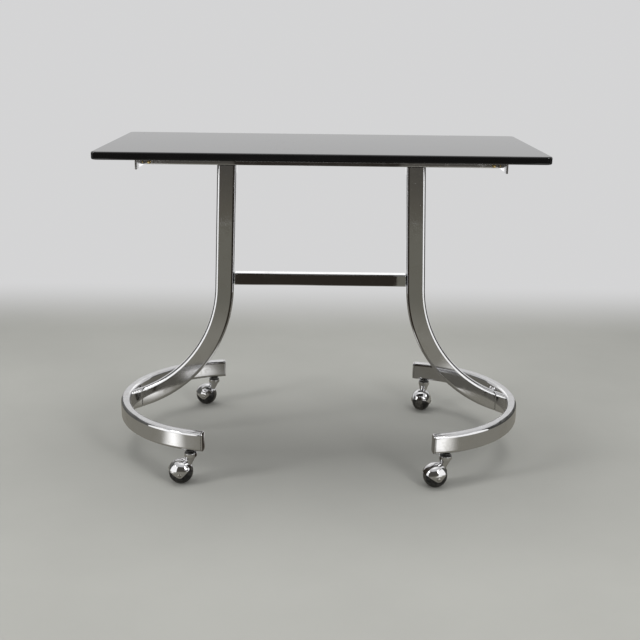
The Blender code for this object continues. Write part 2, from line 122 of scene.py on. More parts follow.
def rectangle(width: float, height: float) -> Array:
    """Corners of a rectangle about the origin, anticlockwise."""
    signs = np.array([(-1.0, -1.0), (1.0, -1.0), (1.0, 1.0), (-1.0, 1.0)])
    return signs * (width / 2, height / 2)


def filleted(corners: Array, radii: float | Array, steps: int, shoulder: float = 0.0006) -> Array:
    """Rounds the corners of a closed polygon.

    At a corner p with unit directions a and b to its neighbours and half angle h between them, the arc
    of radius r touches the sides r / tan(h) from p, and its centre lies r / sin(h) from p along a + b.
    One more point on either side, a shoulder away along the straight, keeps the flats flat under smooth
    shading.

    Args:
        corners: polygon corners, one row each.
        radii: one radius for all corners, or one for each.
        steps: segments of each arc.
        shoulder: distance from an arc to the extra point beside it.

    Returns:
        The outline, one point a row, in the order of the corners.
    """
    corners = np.asarray(corners, float)
    to_last = unit(np.roll(corners, 1, axis=0) - corners)
    to_next = unit(np.roll(corners, -1, axis=0) - corners)
    half = 0.5 * np.arccos(np.clip((to_last * to_next).sum(axis=1), -1.0, 1.0))
    radius = np.broadcast_to(np.asarray(radii, float), half.shape)
    reach = (radius / np.tan(half))[:, None]
    centre = corners + unit(to_last + to_next) * (radius / np.sin(half))[:, None]
    arm = corners + to_last * reach - centre
    turn = np.sign(to_next[:, 0] * to_last[:, 1] - to_next[:, 1] * to_last[:, 0])
    angle = (turn * (math.pi - 2.0 * half))[:, None] * np.linspace(0.0, 1.0, steps + 1)
    x = arm[:, :1] * np.cos(angle) - arm[:, 1:] * np.sin(angle)
    y = arm[:, :1] * np.sin(angle) + arm[:, 1:] * np.cos(angle)
    arcs = centre[:, None, :] + np.stack([x, y], axis=-1)
    before = (corners + to_last * (reach + shoulder))[:, None, :]
    after = (corners + to_next * (reach + shoulder))[:, None, :]
    return np.concatenate([before, arcs, after], axis=1).reshape(-1, 2)


def turned(profile: Array, steps: int) -> Array:
    """A profile of (radius, height) turned about Z: point(i, j) = (r_i cos a_j, r_i sin a_j, h_i)."""
    angle = np.linspace(0.0, 2.0 * math.pi, steps, endpoint=False)
    radius = profile[:, :1]
    height = np.broadcast_to(profile[:, 1:], (len(profile), steps))
    return np.stack([radius * np.cos(angle), radius * np.sin(angle), height], axis=-1)


def domed(radius: float, base: float, height: float, count: int) -> Array:
    """Profile of a low dome from its top to its rim: r = R s and z = base + h (1 - s^2)^(1/2)."""
    share = np.sin(np.linspace(0.0, math.pi / 2, count))
    return np.stack([radius * share, base + height * np.sqrt(1.0 - share ** 2)], axis=-1)


def stacked(plans: Array, heights: Array) -> Array:
    """Plane outlines set at heights along Z: a grid with one outline a row.

    Args:
        plans: one outline for each height, or one for all.
        heights: where they go.

    Returns:
        A grid of points.
    """
    level = np.broadcast_to(heights[:, None, None], (len(heights), plans.shape[-2], 1))
    return np.concatenate([np.broadcast_to(plans, level.shape[:2] + (2,)), level], axis=-1)


def slid(points: Array, direction: Array, place: Array, normal: Array) -> Array:
    """Points p moved along d onto the plane through q with normal n: p + d ((q - p) . n) / (d . n)."""
    travel = ((place - points) @ normal) / (direction @ normal)
    return points + travel[..., None] * direction


def moved(points: Array, matrix: Matrix) -> Array:
    """Points carried by a placing matrix."""
    table = np.array(matrix)
    return points @ table[:3, :3].T + table[:3, 3]


@dataclass(frozen=True)
class Path:
    """A line in space with a frame at each point: directions of the section's width and thickness."""

    points: Array
    widths: Array
    thicknesses: Array

    def carry(self, outline: Array, rows: Array | None = None) -> Array:
        """Carries an outline along the path: point(i, j) = path_i + a_j width_i + b_j thickness_i.

        Args:
            outline: section points (a, b).
            rows: indices of the path points to use, all of them if left out.

        Returns:
            A grid of points, one path point a row.
        """
        rows = np.arange(len(self.points)) if rows is None else rows
        across = outline[None, :, :1] * self.widths[rows][:, None, :]
        through = outline[None, :, 1:] * self.thicknesses[rows][:, None, :]
        return self.points[rows][:, None, :] + across + through


@dataclass(frozen=True)
class TubeSection:
    """A rounded rectangular tube: width, thickness, wall and outer corner radius."""

    width: float
    thickness: float
    wall: float
    corner: float
    steps: int = 8
    least_corner: float = 0.0005

    def outline(self, inset: float = 0.0) -> Array:
        """The outline drawn in by inset, its corners rounded by what is left of the radius."""
        box = rectangle(self.width - 2.0 * inset, self.thickness - 2.0 * inset)
        return filleted(box, max(self.corner - inset, self.least_corner), self.steps)


# Meshes


def around_faces(table: Array) -> Array:
    """The four corners of each face of a grid, in order round it."""
    return np.stack([table[:-1, :-1], table[:-1, 1:], table[1:, 1:], table[1:, :-1]], axis=2)


class Skin:
    """Collects grids and flat caps into one welded mesh with a surface map in metres."""

    def __init__(self) -> None:
        """Starts with no points and no faces."""
        self.points: list[Array] = []
        self.faces: list[list[int]] = []
        self.corners: list[Array] = []
        self.count = 0

    def add_points(self, points: Array) -> Array:
        """Stores points and returns their indices, in the same layout."""
        layout = points.shape[:-1]
        flat = points.reshape(-1, 3)
        self.points.append(flat)
        self.count += len(flat)
        return np.arange(self.count - len(flat), self.count).reshape(layout)

    def grid(self, points: Array, close_rows: bool = False, close_columns: bool = True) -> Array:
        """Adds a surface given as a grid of points.

        Each face joins rows i and i + 1 with columns j and j + 1. The surface map holds the mean distance
        run along the columns and along the rows.

        Args:
            points: grid of points, rows by columns by 3.
            close_rows: joins the last row to the first.
            close_columns: joins the last column to the first.

        Returns:
            The grid's point indices, for caps.
        """
        index = self.add_points(points)
        wide, shape = index, points
        if close_rows:
            wide = np.concatenate([wide, wide[:1]])
            shape = np.concatenate([shape, shape[:1]])
        if close_columns:
            wide = np.concatenate([wide, wide[:, :1]], axis=1)
            shape = np.concatenate([shape, shape[:, :1]], axis=1)
        across = np.linalg.norm(np.diff(shape, axis=1), axis=-1).mean(axis=0)
        along = np.linalg.norm(np.diff(shape, axis=0), axis=-1).mean(axis=1)
        u, v = np.meshgrid(np.r_[0.0, across.cumsum()], np.r_[0.0, along.cumsum()])
        self.faces.extend(around_faces(wide).reshape(-1, 4).tolist())
        self.corners.append(around_faces(np.stack([u, v], axis=-1)).reshape(-1, 2))
        return index

    def cap(self, *rings: Array) -> None:
        """Closes each ring of points with one flat face."""
        for ring in rings:
            points = np.concatenate(self.points)[ring]
            axes = np.sort(np.argsort(np.ptp(points, axis=0))[1:])
            self.faces.append(ring.tolist())
            self.corners.append(points[:, axes])

    def mesh(self, name: str, sharp: float = math.radians(38.0), closed: bool = True) -> Mesh:
        """Makes the mesh, welds it and points its faces outwards.

        Args:
            name: mesh name.
            sharp: edges that turn more than this stay crisp.
            closed: a closed body, whose normals are worked out again.

        Returns:
            The mesh.
        """
        mesh = bpy.data.meshes.new(name)
        mesh.from_pydata(np.concatenate(self.points), [], self.faces)
        layer = mesh.uv_layers.new(name=SURFACE_MAP)
        layer.data.foreach_set("uv", np.concatenate(self.corners).astype(np.float32).ravel())
        weld(mesh, closed)
        mesh.shade_smooth()
        mesh.set_sharp_from_angle(angle=sharp)
        return mesh


class Ends(Enum):
    """How a surface's first and last rows are closed: joined, covered by flat faces, or left alone."""

    JOINED = "joined"
    COVERED = "covered"
    PLAIN = "plain"


def skinned(name: str, points: Array, ends: Ends) -> Mesh:
    """A closed body from one grid whose columns run round it.

    Args:
        name: mesh name.
        points: grid of points, rows by columns by 3.
        ends: how the first and last rows are closed. Rows that shrink to a pole need nothing.

    Returns:
        The mesh.
    """
    skin = Skin()
    index = skin.grid(points, close_rows=ends is Ends.JOINED)
    if ends is Ends.COVERED:
        skin.cap(index[0], index[-1])
    return skin.mesh(name)


def linked(name: str, data: bpy.types.ID) -> bpy.types.Object:
    """A new object of the scene."""
    made = bpy.data.objects.new(name, data)
    bpy.context.scene.collection.objects.link(made)
    return made


def packed(node: str) -> tuple[Array, Array]:
    """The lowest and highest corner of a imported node's box."""
    low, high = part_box(node)
    return np.array(low), np.array(high)


def weld(mesh: Mesh, closed: bool = True, distance: float = 1e-7) -> None:
    """Merges doubled points, drops what collapses or hangs loose, and turns a closed body's faces outwards.

    Args:
        mesh: the mesh to clean.
        closed: a closed body, whose normals are worked out again.
        distance: points nearer than this are one.
    """
    work = bmesh.new()
    work.from_mesh(mesh)
    bmesh.ops.remove_doubles(work, verts=work.verts, dist=distance)
    bmesh.ops.dissolve_degenerate(work, dist=distance, edges=work.edges)
    loose = [vertex for vertex in work.verts if not vertex.link_faces]
    bmesh.ops.delete(work, geom=loose, context="VERTS")
    if closed:
        bmesh.ops.recalc_face_normals(work, faces=work.faces)
    work.to_mesh(mesh)
    work.free()


def evaluated(mesh: Mesh, modifiers: list[tuple[str, dict[str, object]]]) -> Mesh:
    """Runs a mesh through a list of modifiers.

    Args:
        mesh: the mesh to start from.
        modifiers: modifier kinds, each with the settings it gets.

    Returns:
        The finished mesh.
    """
    holder = linked("holder", mesh)
    for kind, settings in modifiers:
        modifier = holder.modifiers.new(kind.lower(), kind)
        for key, value in settings.items():
            setattr(modifier, key, value)
    graph = bpy.context.evaluated_depsgraph_get()
    graph.update()
    result = bpy.data.meshes.new_from_object(holder.evaluated_get(graph))
    bpy.data.objects.remove(holder)
    return result


def combined(mesh: Mesh, others: list[tuple[str, Mesh]]) -> Mesh:
    """Joins other meshes to a mesh, or cuts them out of it, with exact booleans.

    Args:
        mesh: the mesh to start from.
        others: operation and mesh, in order.

    Returns:
        The finished mesh.
    """
    tools = []
    steps = []
    for operation, other in others:
        tool = linked("tool", other)
        tools.append(tool)
        steps.append(("BOOLEAN", {"operation": operation, "object": tool, "solver": "EXACT"}))
    bpy.context.view_layer.update()
    result = evaluated(mesh, steps)
    for tool in tools:
        bpy.data.objects.remove(tool)
    return result


def placed(mesh: Mesh, matrix: Matrix) -> Mesh:
    """A copy of a mesh carried to its place."""
    copy = mesh.copy()
    copy.transform(matrix)
    return copy


def settle(name: str, mesh: Mesh, finish: Finish, body: str, node: str) -> None:
    """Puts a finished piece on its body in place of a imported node.

    Args:
        name: the piece's name.
        mesh: its mesh, already in place.
        finish: what it is coated or made of.
        body: the body it rides on.
        node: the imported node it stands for.
    """
    piece = linked(name, mesh)
    mesh.name = name
    mesh.materials.clear()
    mesh.materials.append(finish.material())
    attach(piece, body)
    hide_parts(node)
    LOG.info("%s on %s: %d faces, %s", name, body, len(mesh.polygons), finish.name)


# Shader building


class Board:
    """Adds and links the nodes of one tree, so that a recipe reads as a list of steps."""

    def __init__(self, tree: bpy.types.NodeTree) -> None:
        """Works on the given tree."""
        self.tree = tree

    def feed(self, socket: Socket, value: object) -> None:
        """Links a socket to another, or sets its value."""
        if isinstance(value, Socket):
            self.tree.links.new(value, socket)
        elif socket.type == "RGBA" and len(value) == 3:
            socket.default_value = (*value, 1.0)
        else:
            socket.default_value = value

    def node(
        self, kind: str, inputs: dict[str | int, object] | None = None, **settings: object
    ) -> bpy.types.Node:
        """Adds a node.

        Args:
            kind: Blender's name of the node type, without its ShaderNode prefix.
            inputs: values or sockets for its inputs, by name or number.
            settings: properties of the node.

        Returns:
            The node.
        """
        made = self.tree.nodes.new("ShaderNode" + kind)
        for key, value in settings.items():
            setattr(made, key, value)
        self.fill(made, inputs or {})
        return made

    def fill(self, node: bpy.types.Node, inputs: dict[str | int, object]) -> None:
        """Gives a node's inputs their values or sockets."""
        for key, value in inputs.items():
            self.feed(node.inputs[key], value)

    def math(self, operation: str, first: object, second: object = 0.0, clamp: bool = False) -> Socket:
        """One step of arithmetic on two values."""
        return self.node("Math", {0: first, 1: second}, operation=operation, use_clamp=clamp).outputs[0]

    def share(self, value: object, part: object) -> Socket:
        """A value times another."""
        return self.math("MULTIPLY", value, part)

    def most(self, first: object, second: object) -> Socket:
        """The larger of two values."""
        return self.math("MAXIMUM", first, second)

    def raised(self, value: object, mask: object, part: float, clamp: bool = False) -> Socket:
        """A value with a part of a mask added."""
        return self.math("ADD", value, self.share(mask, part), clamp)

    def vector(self, operation: str, first: object, *second: object) -> Socket:
        """One step of vector arithmetic; a length or a distance comes out as a value."""
        made = self.node("VectorMath", dict(enumerate((first, *second))), operation=operation)
        return made.outputs["Value" if operation in ("LENGTH", "DISTANCE") else "Vector"]

    def axis(self, vector: object, name: str) -> Socket:
        """One coordinate of a vector: X, Y or Z."""
        return self.node("SeparateXYZ", {0: vector}).outputs[name]

    def span(self, value: object, low: float, high: float, start: float = 0.0, end: float = 1.0) -> Socket:
        """Maps the range low to high onto start to end, smoothly, and holds it there outside."""
        inputs = {"Value": value, "From Min": low, "From Max": high, "To Min": start, "To Max": end}
        return self.node("MapRange", inputs, interpolation_type="SMOOTHSTEP").outputs["Result"]

    def blend(self, factor: object, first: object, second: object) -> Socket:
        """Mixes two colours."""
        return self.node("Mix", {0: factor, 6: first, 7: second}, data_type="RGBA").outputs[2]

    def noise(
        self, vector: object, scale: object, detail: float = 3.0, rough: float = 0.5, bend: float = 0.0
    ) -> Socket:
        """Smooth noise between about 0.25 and 0.75."""
        inputs = {"Vector": vector, "Scale": scale, "Detail": detail, "Roughness": rough}
        return self.node("TexNoise", inputs | {"Distortion": bend}).outputs["Fac"]

    def stretch(self, vector: object, scale: Point, turn: float = 0.0) -> Socket:
        """Coordinates turned about their third axis and scaled along each."""
        inputs = {"Vector": vector, "Rotation": (0.0, 0.0, turn), "Scale": scale}
        return self.node("Mapping", inputs).outputs["Vector"]

    def bump(
        self, height: object, distance: float, under: Socket | None = None, strength: float = 1.0,
        invert: bool = False,
    ) -> Socket:
        """Bends the normal by a height.

        Args:
            height: the height, 0 to 1.
            distance: what a height of 1 stands for, in metres.
            under: a normal that is already bent, if there is one.
            strength: share of the bend that is kept.
            invert: turns heights into depths.

        Returns:
            The normal.
        """
        inputs = {"Height": height, "Distance": distance, "Strength": strength}
        if under:
            inputs["Normal"] = under
        return self.node("Bump", inputs, invert=invert).outputs[0]


def fresh_material(name: str) -> tuple[bpy.types.Material, Board]:
    """A new material with its usual shader, and a board for its nodes."""
    made = bpy.data.materials.new(name)
    made.use_nodes = True
    return made, Board(made.node_tree)


class Effect(Enum):
    """Surface effects shared by several finishes, each a node group that is built once."""

    SMUDGES = "handling_smudges"
    POLISH = "polish_lines"
    SCRATCHES = "hair_scratches"
    DUST = "settled_dust"
    PITS = "plating_pits"
    WAVES = "surface_waves"
    GRAIN = "moulded_grain"

    def tree(self) -> bpy.types.NodeTree:
        """The effect's node group, built on first use."""
        found = bpy.data.node_groups.get(self.value)
        if found:
            return found
        tree = bpy.data.node_groups.new(self.value, "ShaderNodeTree")
        sockets = {"Vector": "Vector", "Scale": "Float", "Amount": "Float"}
        for name, kind in sockets.items():
            tree.interface.new_socket(name, in_out="INPUT", socket_type="NodeSocket" + kind)
        tree.interface.new_socket("Mask", in_out="OUTPUT", socket_type="NodeSocketFloat")
        board = Board(tree)
        source = tree.nodes.new("NodeGroupInput")
        sink = tree.nodes.new("NodeGroupOutput")
        mask = RECIPES[self](board, source.outputs["Vector"], source.outputs["Scale"])
        board.feed(sink.inputs["Mask"], board.math("MULTIPLY", mask, source.outputs["Amount"], True))
        return tree

    def place(self, board: Board, vector: object, scale: float, amount: float = 1.0) -> Socket:
        """Places the effect in a material.

        Args:
            board: the material's board.
            vector: coordinates in metres.
            scale: features a metre.
            amount: how strong the mask is, 0 to 1.

        Returns:
            The mask.
        """
        made = board.tree.nodes.new("ShaderNodeGroup")
        made.node_tree = self.tree()
        board.fill(made, {"Vector": vector, "Scale": scale, "Amount": amount})
        return made.outputs["Mask"]


def smudges(board: Board, vector: object, scale: object) -> Socket:
    """Soft hazy patches with finer mottling in them, as hands and polish leave."""
    broad = board.span(board.noise(vector, scale, 4.0, 0.6, 0.6), 0.42, 0.68)
    fine = board.span(board.noise(vector, board.share(scale, 9.0)), 0.3, 0.7)
    mottle = board.node("Math", {0: fine, 1: 0.6, 2: 0.5}, operation="MULTIPLY_ADD").outputs[0]
    return board.share(broad, mottle)


def polish_lines(board: Board, vector: object, scale: object) -> Socket:
    """Long fine lines along the second axis of the surface map, as a polishing wheel leaves."""
    lines = board.stretch(vector, (1.0, 0.012, 1.0))
    fine = board.span(board.noise(lines, scale, 2.0), 0.45, 0.75)
    coarse = board.span(board.noise(lines, board.share(scale, 0.31), 2.0), 0.5, 0.72)
    return board.raised(board.share(fine, 0.6), coarse, 0.4)


def hair_scratches(board: Board, vector: object, scale: object) -> Socket:
    """Thin stray lines in three directions, broken up by patches: edges of long narrow cells."""
    total: object = 0.0
    for number, turn in enumerate((0.25, 1.35, 2.45)):
        shift = board.vector("ADD", vector, (number * 3.7, number * 1.9, 0.0))
        lines = board.stretch(shift, (1.0, 0.07, 1.0), turn)
        cells = board.node("TexVoronoi", {"Vector": lines, "Scale": scale}, feature="DISTANCE_TO_EDGE")
        thin = board.span(cells.outputs["Distance"], 0.0, 0.016, 1.0, 0.0)
        patch = board.span(board.noise(shift, board.share(scale, 0.22), 2.0), 0.56, 0.66)
        total = board.most(total, board.share(thin, patch))
    return total


def chosen_dots(
    board: Board, vector: object, scale: object, size: Pair, channel: int, choice: Pair
) -> Socket:
    """Round dots in the middle of some cells.

    Args:
        board: the group's board.
        vector: coordinates in metres.
        scale: cells a metre.
        size: where a dot begins and ends to fade, as a share of a cell.
        channel: number of the cell colour's channel that chooses.
        choice: range of that channel over which dots begin to show.

    Returns:
        The mask.
    """
    cells = board.node("TexVoronoi", {"Vector": vector, "Scale": scale})
    dots = board.span(cells.outputs["Distance"], *size, 1.0, 0.0)
    lot = board.node("SeparateColor", {0: cells.outputs["Color"]}).outputs[channel]
    return board.share(dots, board.span(lot, *choice))


def settled_dust(board: Board, vector: object, scale: object) -> Socket:
    """Fine specks and a thin film on what faces up."""
    upward = board.span(board.axis(board.node("NewGeometry").outputs["Normal"], "Z"), 0.35, 0.95)
    film = board.span(board.noise(vector, board.share(scale, 0.05), 4.0, 0.65), 0.35, 0.75, 0.15, 1.0)
    specks = chosen_dots(board, vector, scale, (0.06, 0.16), 0, (0.72, 0.80))
    return board.share(board.most(specks, board.share(film, 0.35)), upward)


def plating_pits(board: Board, vector: object, scale: object) -> Socket:
    """Scattered pin-sized spots where the plating has lifted."""
    spots = chosen_dots(board, vector, scale, (0.05, 0.14), 1, (0.80, 0.86))
    area = board.span(board.noise(vector, board.share(scale, 0.06), 2.0), 0.50, 0.66)
    return board.share(spots, area)


def surface_waves(board: Board, vector: object, scale: object) -> Socket:
    """Slow unevenness of a drawn, bent or polished surface."""
    return board.noise(vector, scale, 1.0, 0.35)


def moulded_grain(board: Board, vector: object, scale: object) -> Socket:
    """The close grain of moulded rubber and plastic."""
    coarse = board.noise(vector, scale, 4.0, 0.7)
    fine = board.noise(vector, board.share(scale, 4.0), 2.0)
    return board.raised(board.share(coarse, 0.65), fine, 0.35)


RECIPES = {
    Effect.SMUDGES: smudges,
    Effect.POLISH: polish_lines,
    Effect.SCRATCHES: hair_scratches,
    Effect.DUST: settled_dust,
    Effect.PITS: plating_pits,
    Effect.WAVES: surface_waves,
    Effect.GRAIN: moulded_grain,
}


# Finishes


@dataclass(frozen=True)
class Finish:
    """A finish with a name and the record's slot. A subclass says how its shader is wired."""

    name: str
    slot: Slot

    def material(self) -> bpy.types.Material:
        """The finish's material, built on first use."""
        found = bpy.data.materials.get(self.name)
        if found:
            return found
        made, board = fresh_material(self.name)
        coords = board.node("TexCoord").outputs["Object"]
        surface = board.node("UVMap", uv_map=SURFACE_MAP).outputs["UV"]
        board.fill(made.node_tree.nodes["Principled BSDF"], self.wire(board, coords, surface))
        return made

    def wire(self, board: Board, coords: object, surface: object) -> dict[str, object]:
        """Makes what the shader is fed.

        Args:
            board: the material's board.
            coords: object coordinates in metres.
            surface: the piece's own surface map in metres.

        Returns:
            Values and sockets for the shader's inputs, by name.
        """
        raise NotImplementedError


@dataclass(frozen=True)
class ChromePlate(Finish):
    """Bright chrome: a mirror with haze, polishing lines, hair scratches, dust on top and a few pits."""

    colour: Colour = (0.72, 0.72, 0.73)
    hazed: Colour = (0.68, 0.675, 0.67)
    pitted: Colour = (0.10, 0.065, 0.04)
    dusty: Colour = (0.42, 0.40, 0.36)
    shine: float = 0.045
    haze: float = 0.13
    dust: float = 0.35
    pits: float = 0.7
    waves: float = 0.00006
    wave_scale: float = 16.0

    def wire(self, board: Board, coords: object, surface: object) -> dict[str, object]:
        """Makes what the shader is fed, as Finish.wire says."""
        smudge = Effect.SMUDGES.place(board, coords, 26.0)
        polish = Effect.POLISH.place(board, surface, 5200.0)
        scratch = Effect.SCRATCHES.place(board, surface, 120.0, 0.8)
        dust = Effect.DUST.place(board, coords, 900.0, self.dust)
        pits = Effect.PITS.place(board, coords, 420.0, self.pits)
        waves = Effect.WAVES.place(board, coords, self.wave_scale)
        colour = board.blend(smudge, self.colour, self.hazed)
        colour = board.blend(pits, colour, self.pitted)
        rough = board.span(smudge, 0.0, 1.0, self.shine, self.haze)
        rough = board.raised(rough, polish, 0.03)
        rough = board.raised(rough, scratch, 0.10)
        rough = board.raised(rough, dust, 0.45, True)
        lines = board.bump(scratch, 0.00001, strength=0.5, invert=True)
        pitting = board.bump(pits, 0.00012, lines, invert=True)
        return {
            "Base Color": board.blend(dust, colour, self.dusty),
            "Roughness": board.most(rough, board.share(pits, 0.55)),
            "Metallic": board.math("SUBTRACT", 1.0, board.most(dust, board.share(pits, 0.6)), True),
            "Normal": board.bump(waves, self.waves, pitting),
        }


@dataclass(frozen=True)
class BlackGlass(Finish):
    """Black float glass: deep gloss with wiping marks, hair scratches and specks of dust."""

    colour: Colour = (0.0035, 0.0035, 0.0038)
    wiped: Colour = (0.006, 0.006, 0.0063)
    dusty: Colour = (0.30, 0.29, 0.27)
    shine: float = 0.018
    haze: float = 0.075
    index: float = 1.52

    def wire(self, board: Board, coords: object, surface: object) -> dict[str, object]:
        """Makes what the shader is fed, as Finish.wire says."""
        smudge = Effect.SMUDGES.place(board, board.stretch(coords, (0.35, 1.0, 1.0), 0.5), 11.0)
        scratch = Effect.SCRATCHES.place(board, coords, 40.0, 0.7)
        dust = Effect.DUST.place(board, coords, 420.0, 0.05)
        waves = Effect.WAVES.place(board, coords, 9.0)
        colour = board.blend(smudge, self.colour, self.wiped)
        rough = board.span(smudge, 0.0, 1.0, self.shine, self.haze)
        rough = board.raised(rough, scratch, 0.12)
        lines = board.bump(scratch, 0.000008, strength=0.4, invert=True)
        return {
            "Base Color": board.blend(dust, colour, self.dusty),
            "Roughness": board.raised(rough, dust, 0.8, True),
            "Normal": board.bump(waves, 0.00002, lines),
            "IOR": self.index,
        }


@dataclass(frozen=True)
class MouldedBlack(Finish):
    """Moulded black rubber or plastic: close grain, scuffs and grey dust where it rubs."""

    colour: Colour = (0.010, 0.010, 0.010)
    scuffed: Colour = (0.045, 0.043, 0.040)
    dusty: Colour = (0.16, 0.15, 0.13)
    mirror: float = 0.5
    sheen: float = 0.34
    scuff: float = 0.62
    grain: float = 0.00005
    grain_scale: float = 900.0
    track: Pair | None = None

    def wire(self, board: Board, coords: object, surface: object) -> dict[str, object]:
        """Makes what the shader is fed, as Finish.wire says; dust gathers along the track."""
        grain = Effect.GRAIN.place(board, coords, self.grain_scale)
        smudge = Effect.SMUDGES.place(board, coords, 90.0)
        scratch = Effect.SCRATCHES.place(board, surface, 420.0, 0.7)
        dust = Effect.DUST.place(board, coords, 1500.0, 0.35)
        if self.track:
            middle, half = self.track
            off = board.math("ABSOLUTE", board.math("SUBTRACT", board.axis(surface, "Y"), middle))
            band = board.span(off, half * 0.55, half, 0.5, 0.0)
            worn = board.span(board.noise(coords, 240.0, 4.0, 0.65), 0.38, 0.66)
            dust = board.most(dust, board.share(band, worn))
        colour = board.blend(board.most(smudge, scratch), self.colour, self.scuffed)
        rough = board.span(board.most(smudge, dust), 0.0, 1.0, self.sheen, self.scuff)
        return {
            "Base Color": board.blend(dust, colour, self.dusty),
            "Roughness": board.raised(rough, grain, 0.08, True),
            "Normal": board.bump(grain, self.grain),
            "Specular IOR Level": self.mirror,
        }


@dataclass(frozen=True)
class PlainMetal(Finish):
    """Turned or zinc-plated steel: soft sheen, turning lines, darker stains and dust."""

    colour: Colour = (0.50, 0.50, 0.49)
    stained: Colour = (0.30, 0.28, 0.25)
    dusty: Colour = (0.33, 0.31, 0.28)
    sheen: float = 0.24
    dull: float = 0.45

    def wire(self, board: Board, coords: object, surface: object) -> dict[str, object]:
        """Makes what the shader is fed, as Finish.wire says."""
        smudge = Effect.SMUDGES.place(board, coords, 160.0)
        polish = Effect.POLISH.place(board, surface, 9000.0)
        dust = Effect.DUST.place(board, coords, 1600.0, 0.4)
        pits = Effect.PITS.place(board, coords, 1400.0, 0.8)
        colour = board.blend(board.most(smudge, pits), self.colour, self.stained)
        rough = board.span(smudge, 0.0, 1.0, self.sheen, self.dull)
        rough = board.raised(rough, polish, 0.10)
        return {
            "Base Color": board.blend(dust, colour, self.dusty),
            "Roughness": board.raised(rough, dust, 0.3, True),
            "Metallic": board.math("SUBTRACT", 1.0, dust, True),
            "Normal": board.bump(polish, 0.00002),
        }


@dataclass(frozen=True)
class YellowedVinyl(Finish):
    """Soft clear vinyl gone yellow: cloudy, with grime pressed into it."""

    colour: Colour = (0.62, 0.58, 0.40)
    grimy: Colour = (0.30, 0.25, 0.15)

    def wire(self, board: Board, coords: object, surface: object) -> dict[str, object]:
        """Makes what the shader is fed, as Finish.wire says."""
        smudge = Effect.SMUDGES.place(board, coords, 180.0)
        grain = Effect.GRAIN.place(board, coords, 700.0)
        scratch = Effect.SCRATCHES.place(board, surface, 300.0, 0.6)
        return {
            "Base Color": board.blend(board.most(smudge, scratch), self.colour, self.grimy),
            "Roughness": board.span(smudge, 0.0, 1.0, 0.25, 0.55),
            "Normal": board.bump(grain, 0.00003),
        }


LEG_CHROME = ChromePlate("leg_chrome", Slot.CHROME)
FOOT_CHROME = ChromePlate("foot_chrome", Slot.CHROME, haze=0.17, dust=0.5, pits=1.0)
FRAME_CHROME = ChromePlate("top_frame_chrome", Slot.CHROME, shine=0.08, haze=0.2, dust=0.2)
HOOD_CHROME = ChromePlate("hood_chrome", Slot.CHROME, shine=0.03, haze=0.11, waves=0.00002, wave_scale=60.0)
GLASS = BlackGlass("black_glass", Slot.GLASS)
RUBBER = MouldedBlack("wheel_rubber", Slot.RUBBER, mirror=0.2, sheen=0.30, track=(0.0330, 0.011))
PLASTIC = MouldedBlack("bush_plastic", Slot.PLASTIC, sheen=0.25, scuff=0.5, grain=0.00003)
STEEL = PlainMetal("turned_steel", Slot.STEEL)
ZINC = PlainMetal("yellow_zinc_plate", Slot.ZINC, colour=(0.66, 0.50, 0.22), stained=(0.36, 0.26, 0.11))
VINYL = YellowedVinyl("yellowed_vinyl", Slot.VINYL)
FRAME_BODY = "frame"


# Sub-assemblies


def straight_path(start: Array, end: Array, width: Array, stations: Array) -> Path:
    """A straight path with stations at the given distances from its start, its width direction given."""
    along = unit(end - start)
    points = start + stations[:, None] * along
    count = (len(stations), 1)
    return Path(points, np.tile(width, count), np.tile(np.cross(along, width), count))


def lip_stations(length: float, lip: float, spacing: float) -> Array:
    """Distances along a tube: close together at both lips, then evenly spaced."""
    count = max(2, round((length - 2.0 * lip) / spacing))
    return np.r_[0.0, np.linspace(lip, length - lip, count + 1), length]


def hollow_grid(path: Path, section: TubeSection, lip: float) -> Array:
    """A tube wall as one closed grid: along the outside, round the far lip and back along the inside.

    The first and last rows of the outside are drawn in by the lip, which rounds the edge.

    Args:
        path: the tube's centre line.
        section: the tube's section.
        lip: how far the edges are drawn in.

    Returns:
        The grid, whose last row joins its first.
    """
    rows = np.arange(len(path.points))
    outer = path.carry(section.outline(), rows[1:-1])
    ends = path.carry(section.outline(lip), rows[[0, -1]])
    inner = path.carry(section.outline(section.wall), rows[::-1])
    return np.concatenate([ends[:1], outer, ends[1:], inner])


def cross_tube(node: str, section: TubeSection, reach: float, lip: float, spacing: float) -> Array:
    """A tube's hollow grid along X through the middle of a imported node, from -reach to +reach."""
    middle = sum(packed(node)) / 2
    start = middle * (0.0, 1.0, 1.0) - (reach, 0.0, 0.0)
    stations = lip_stations(2.0 * reach, lip, spacing)
    path = straight_path(start, start + (2.0 * reach, 0.0, 0.0), np.array([0.0, 1.0, 0.0]), stations)
    return hollow_grid(path, section, lip)


